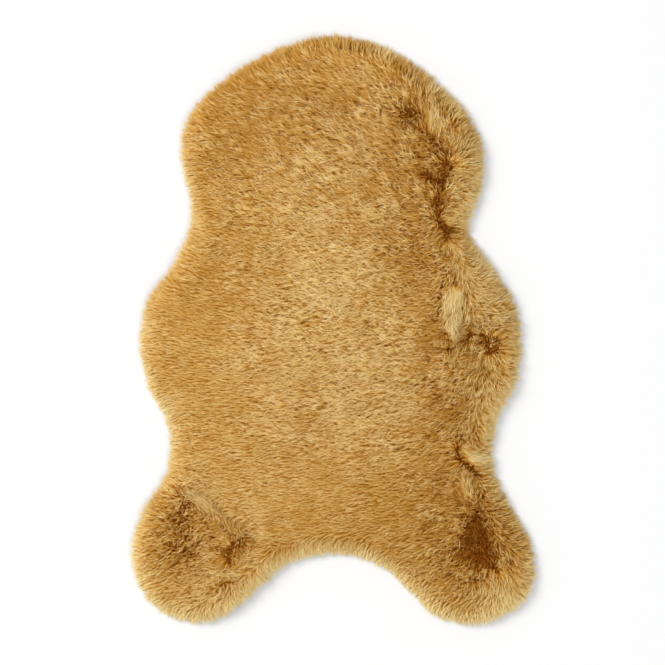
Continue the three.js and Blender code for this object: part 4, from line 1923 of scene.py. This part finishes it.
@dataclass(frozen=True)
class Pile:
    """The hairs that show, grown from the underfur in five bands."""

    spacing: float = 0.9
    length: float = 12.0
    width: float = 0.66
    clump: float = 5.7
    pull: float = 0.4
    gather: float = 2.9
    jitter: float = 0.12
    sway: float = 0.95
    seed: int = 7
    own_share: float = 0.8
    quick_spacing: float = 2.0
    quick_widening: float = 1.8

    def build(self, underfur: bpy.types.Object) -> list[bpy.types.Object]:
        """Grows every band of pile.

        Args:
            underfur: the mat that the hairs stand on, with its comb stored on it.

        Returns:
            The new pieces.
        """
        tree, finish = HairTree(), PileFinish().material()
        values = {
            "Spacing": (self.spacing) * MM,
            "Length": self.length * MM,
            "Width": self.width * MM * 1.0,
            "Clump Size": self.clump * MM,
            "Clump Pull": self.pull,
            "Gather": self.gather * MM,
            "Jitter": self.jitter,
            "Sway": self.sway,
            "Seed": self.seed,
            "Finish": finish,
        }
        return [self._band(underfur, tree, values, band) for band in BANDS]

    def _band(self, underfur: bpy.types.Object, tree: HairTree, values: dict[str, object],
              band: Band) -> bpy.types.Object:
        """Grows one band as a plain mesh.

        Args:
            underfur: the mat that the hairs stand on.
            tree: the node tree that grows them.
            values: the tree's inputs.
            band: the stretch of the rug.

        Returns:
            The new piece.
        """
        bed = bpy.data.objects.new("bed", underfur.data.copy())
        bpy.context.collection.objects.link(bed)
        grow = bed.modifiers.new("hairs", "NODES")
        grow.node_group = tree.tree
        for name, value in {**values, "Band Low": band.low * MM, "Band High": band.high * MM}.items():
            grow[tree.identifiers[name]] = value
        graph = bpy.context.evaluated_depsgraph_get()
        grown = bed.evaluated_get(graph)
        mesh = bpy.data.meshes.new_from_object(grown, preserve_all_data_layers=True, depsgraph=graph)
        bpy.data.objects.remove(bed)
        mesh.name = band.name
        self._soften(mesh)
        piece = bpy.data.objects.new(band.name, mesh)
        bpy.context.collection.objects.link(piece)
        return piece

    def _soften(self, mesh: bpy.types.Mesh) -> None:
        """Gives the hairs their soft shading, and takes away what only their making needed.

        Args:
            mesh: the hairs, with the soft shading stored on their points.
        """
        soft = np.empty(len(mesh.vertices) * 3, dtype=np.float32)
        mesh.attributes["soft"].data.foreach_get("vector", soft)
        own = np.empty_like(soft)
        mesh.vertex_normals.foreach_get("vector", own)
        blend = soft.reshape(-1, 3) + self.own_share * own.reshape(-1, 3)
        blend /= np.linalg.norm(blend, axis=1, keepdims=True)
        mesh.normals_split_custom_set_from_vertices(blend.tolist())
        spare = [layer.name for layer in mesh.attributes if layer.name.startswith("hair_")]
        for name in (*spare, *Underfur.COMBED, "shade", "soft"):
            if name in mesh.attributes:
                mesh.attributes.remove(mesh.attributes[name])


@dataclass(frozen=True)
class Rug:
    """The whole rug: ground cloth, underfur and pile."""

    ground: GroundCloth = field(default_factory=GroundCloth)
    underfur: Underfur = field(default_factory=Underfur)
    pile: Pile = field(default_factory=Pile)

    def build(self) -> None:
        """Makes and dresses every piece, attaches each to the rug's body, and logs it."""
        cloth = self.ground.build()
        report(cloth)
        mat = self.underfur.build()
        hairs = self.pile.build(mat)
        self.underfur.strip(mat)
        for piece in [mat, *hairs]:
            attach(piece, BODY)
            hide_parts(NODE)
            report(piece)
        self.ground.declare(cloth, [mat, *hairs])


@dataclass(frozen=True)
class Studio:
    """A pale floor, a soft key light from the upper left and a camera straight above."""

    camera_place: tuple[float, float, float] = (-0.0007, -0.0027, 2.135)
    lens: float = 85.0
    sensor: float = 36.0
    key_place: tuple[float, float, float] = (-6.6, 3.5, 6.7)
    key_size: float = 4.4
    key_power: float = 800.0
    fill_place: tuple[float, float, float] = (3.0, -4.4, 8.0)
    fill_size: float = 6.0
    fill_power: float = 385.0
    sky: float = 0.485
    sky_colour: Colour = (1.0, 1.0, 1.0)
    floor_size: float = 12.0
    floor_colour: Colour = (0.765, 0.765, 0.765)

    def build(self) -> None:
        """Makes the floor, the light and the camera."""
        self._floor()
        self._disk("key", self.key_place, self.key_size, self.key_power)
        self._disk("fill", self.fill_place, self.fill_size, self.fill_power)
        self._sky()
        self._camera()

    def _floor(self) -> None:
        """Makes the plain pale floor."""
        half = self.floor_size / 2
        mesh = bpy.data.meshes.new("floor")
        corners = [(-half, -half, 0), (half, -half, 0), (half, half, 0), (-half, half, 0)]
        mesh.from_pydata(corners, [], [(0, 1, 2, 3)])
        material, _, surface = start_finish("pale_floor", 1.0)
        surface.inputs["Base Color"].default_value = (*self.floor_colour, 1.0)
        mesh.materials.append(material)
        floor = bpy.data.objects.new("floor", mesh)
        bpy.context.collection.objects.link(floor)

    def _sky(self) -> None:
        """Makes the even light from all round."""
        world = bpy.data.worlds.new("sky")
        world.use_nodes = True
        background = world.node_tree.nodes["Background"]
        background.inputs["Strength"].default_value = self.sky
        background.inputs["Color"].default_value = (*self.sky_colour, 1.0)
        bpy.context.scene.world = world
        bpy.context.scene.view_settings.view_transform = "Standard"

    @staticmethod
    def _disk(name: str, place: tuple[float, float, float], size: float, power: float) -> None:
        """Makes a round light that faces the rug.

        Args:
            name: the light's name.
            place: where it hangs.
            size: how wide it is.
            power: its power in watts.
        """
        data = bpy.data.lights.new(name, "AREA")
        data.shape = "DISK"
        data.size = size
        data.energy = power
        light = bpy.data.objects.new(name, data)
        light.location = place
        light.rotation_euler = (-Vector(place)).to_track_quat("-Z", "Y").to_euler()
        bpy.context.collection.objects.link(light)

    def _camera(self) -> None:
        """Makes the camera, which looks straight down with the head end at the top."""
        data = bpy.data.cameras.new("camera")
        data.lens = self.lens
        data.sensor_width = self.sensor
        camera = bpy.data.objects.new("camera", data)
        camera.location = self.camera_place
        bpy.context.collection.objects.link(camera)
        bpy.context.scene.camera = camera


def report(piece: bpy.types.Object) -> None:
    """Logs a piece's name and how many triangles it has."""
    count = sum(len(face.vertices) - 2 for face in piece.data.polygons)
    log.info("%s: %d triangles", piece.name, count)


def main() -> None:
    """Builds the rug and the studio."""
    logging.basicConfig(level=logging.INFO, format="%(name)s: %(message)s")
    Rug().build()
    Studio().build()


if __name__ == "__main__":
    main()
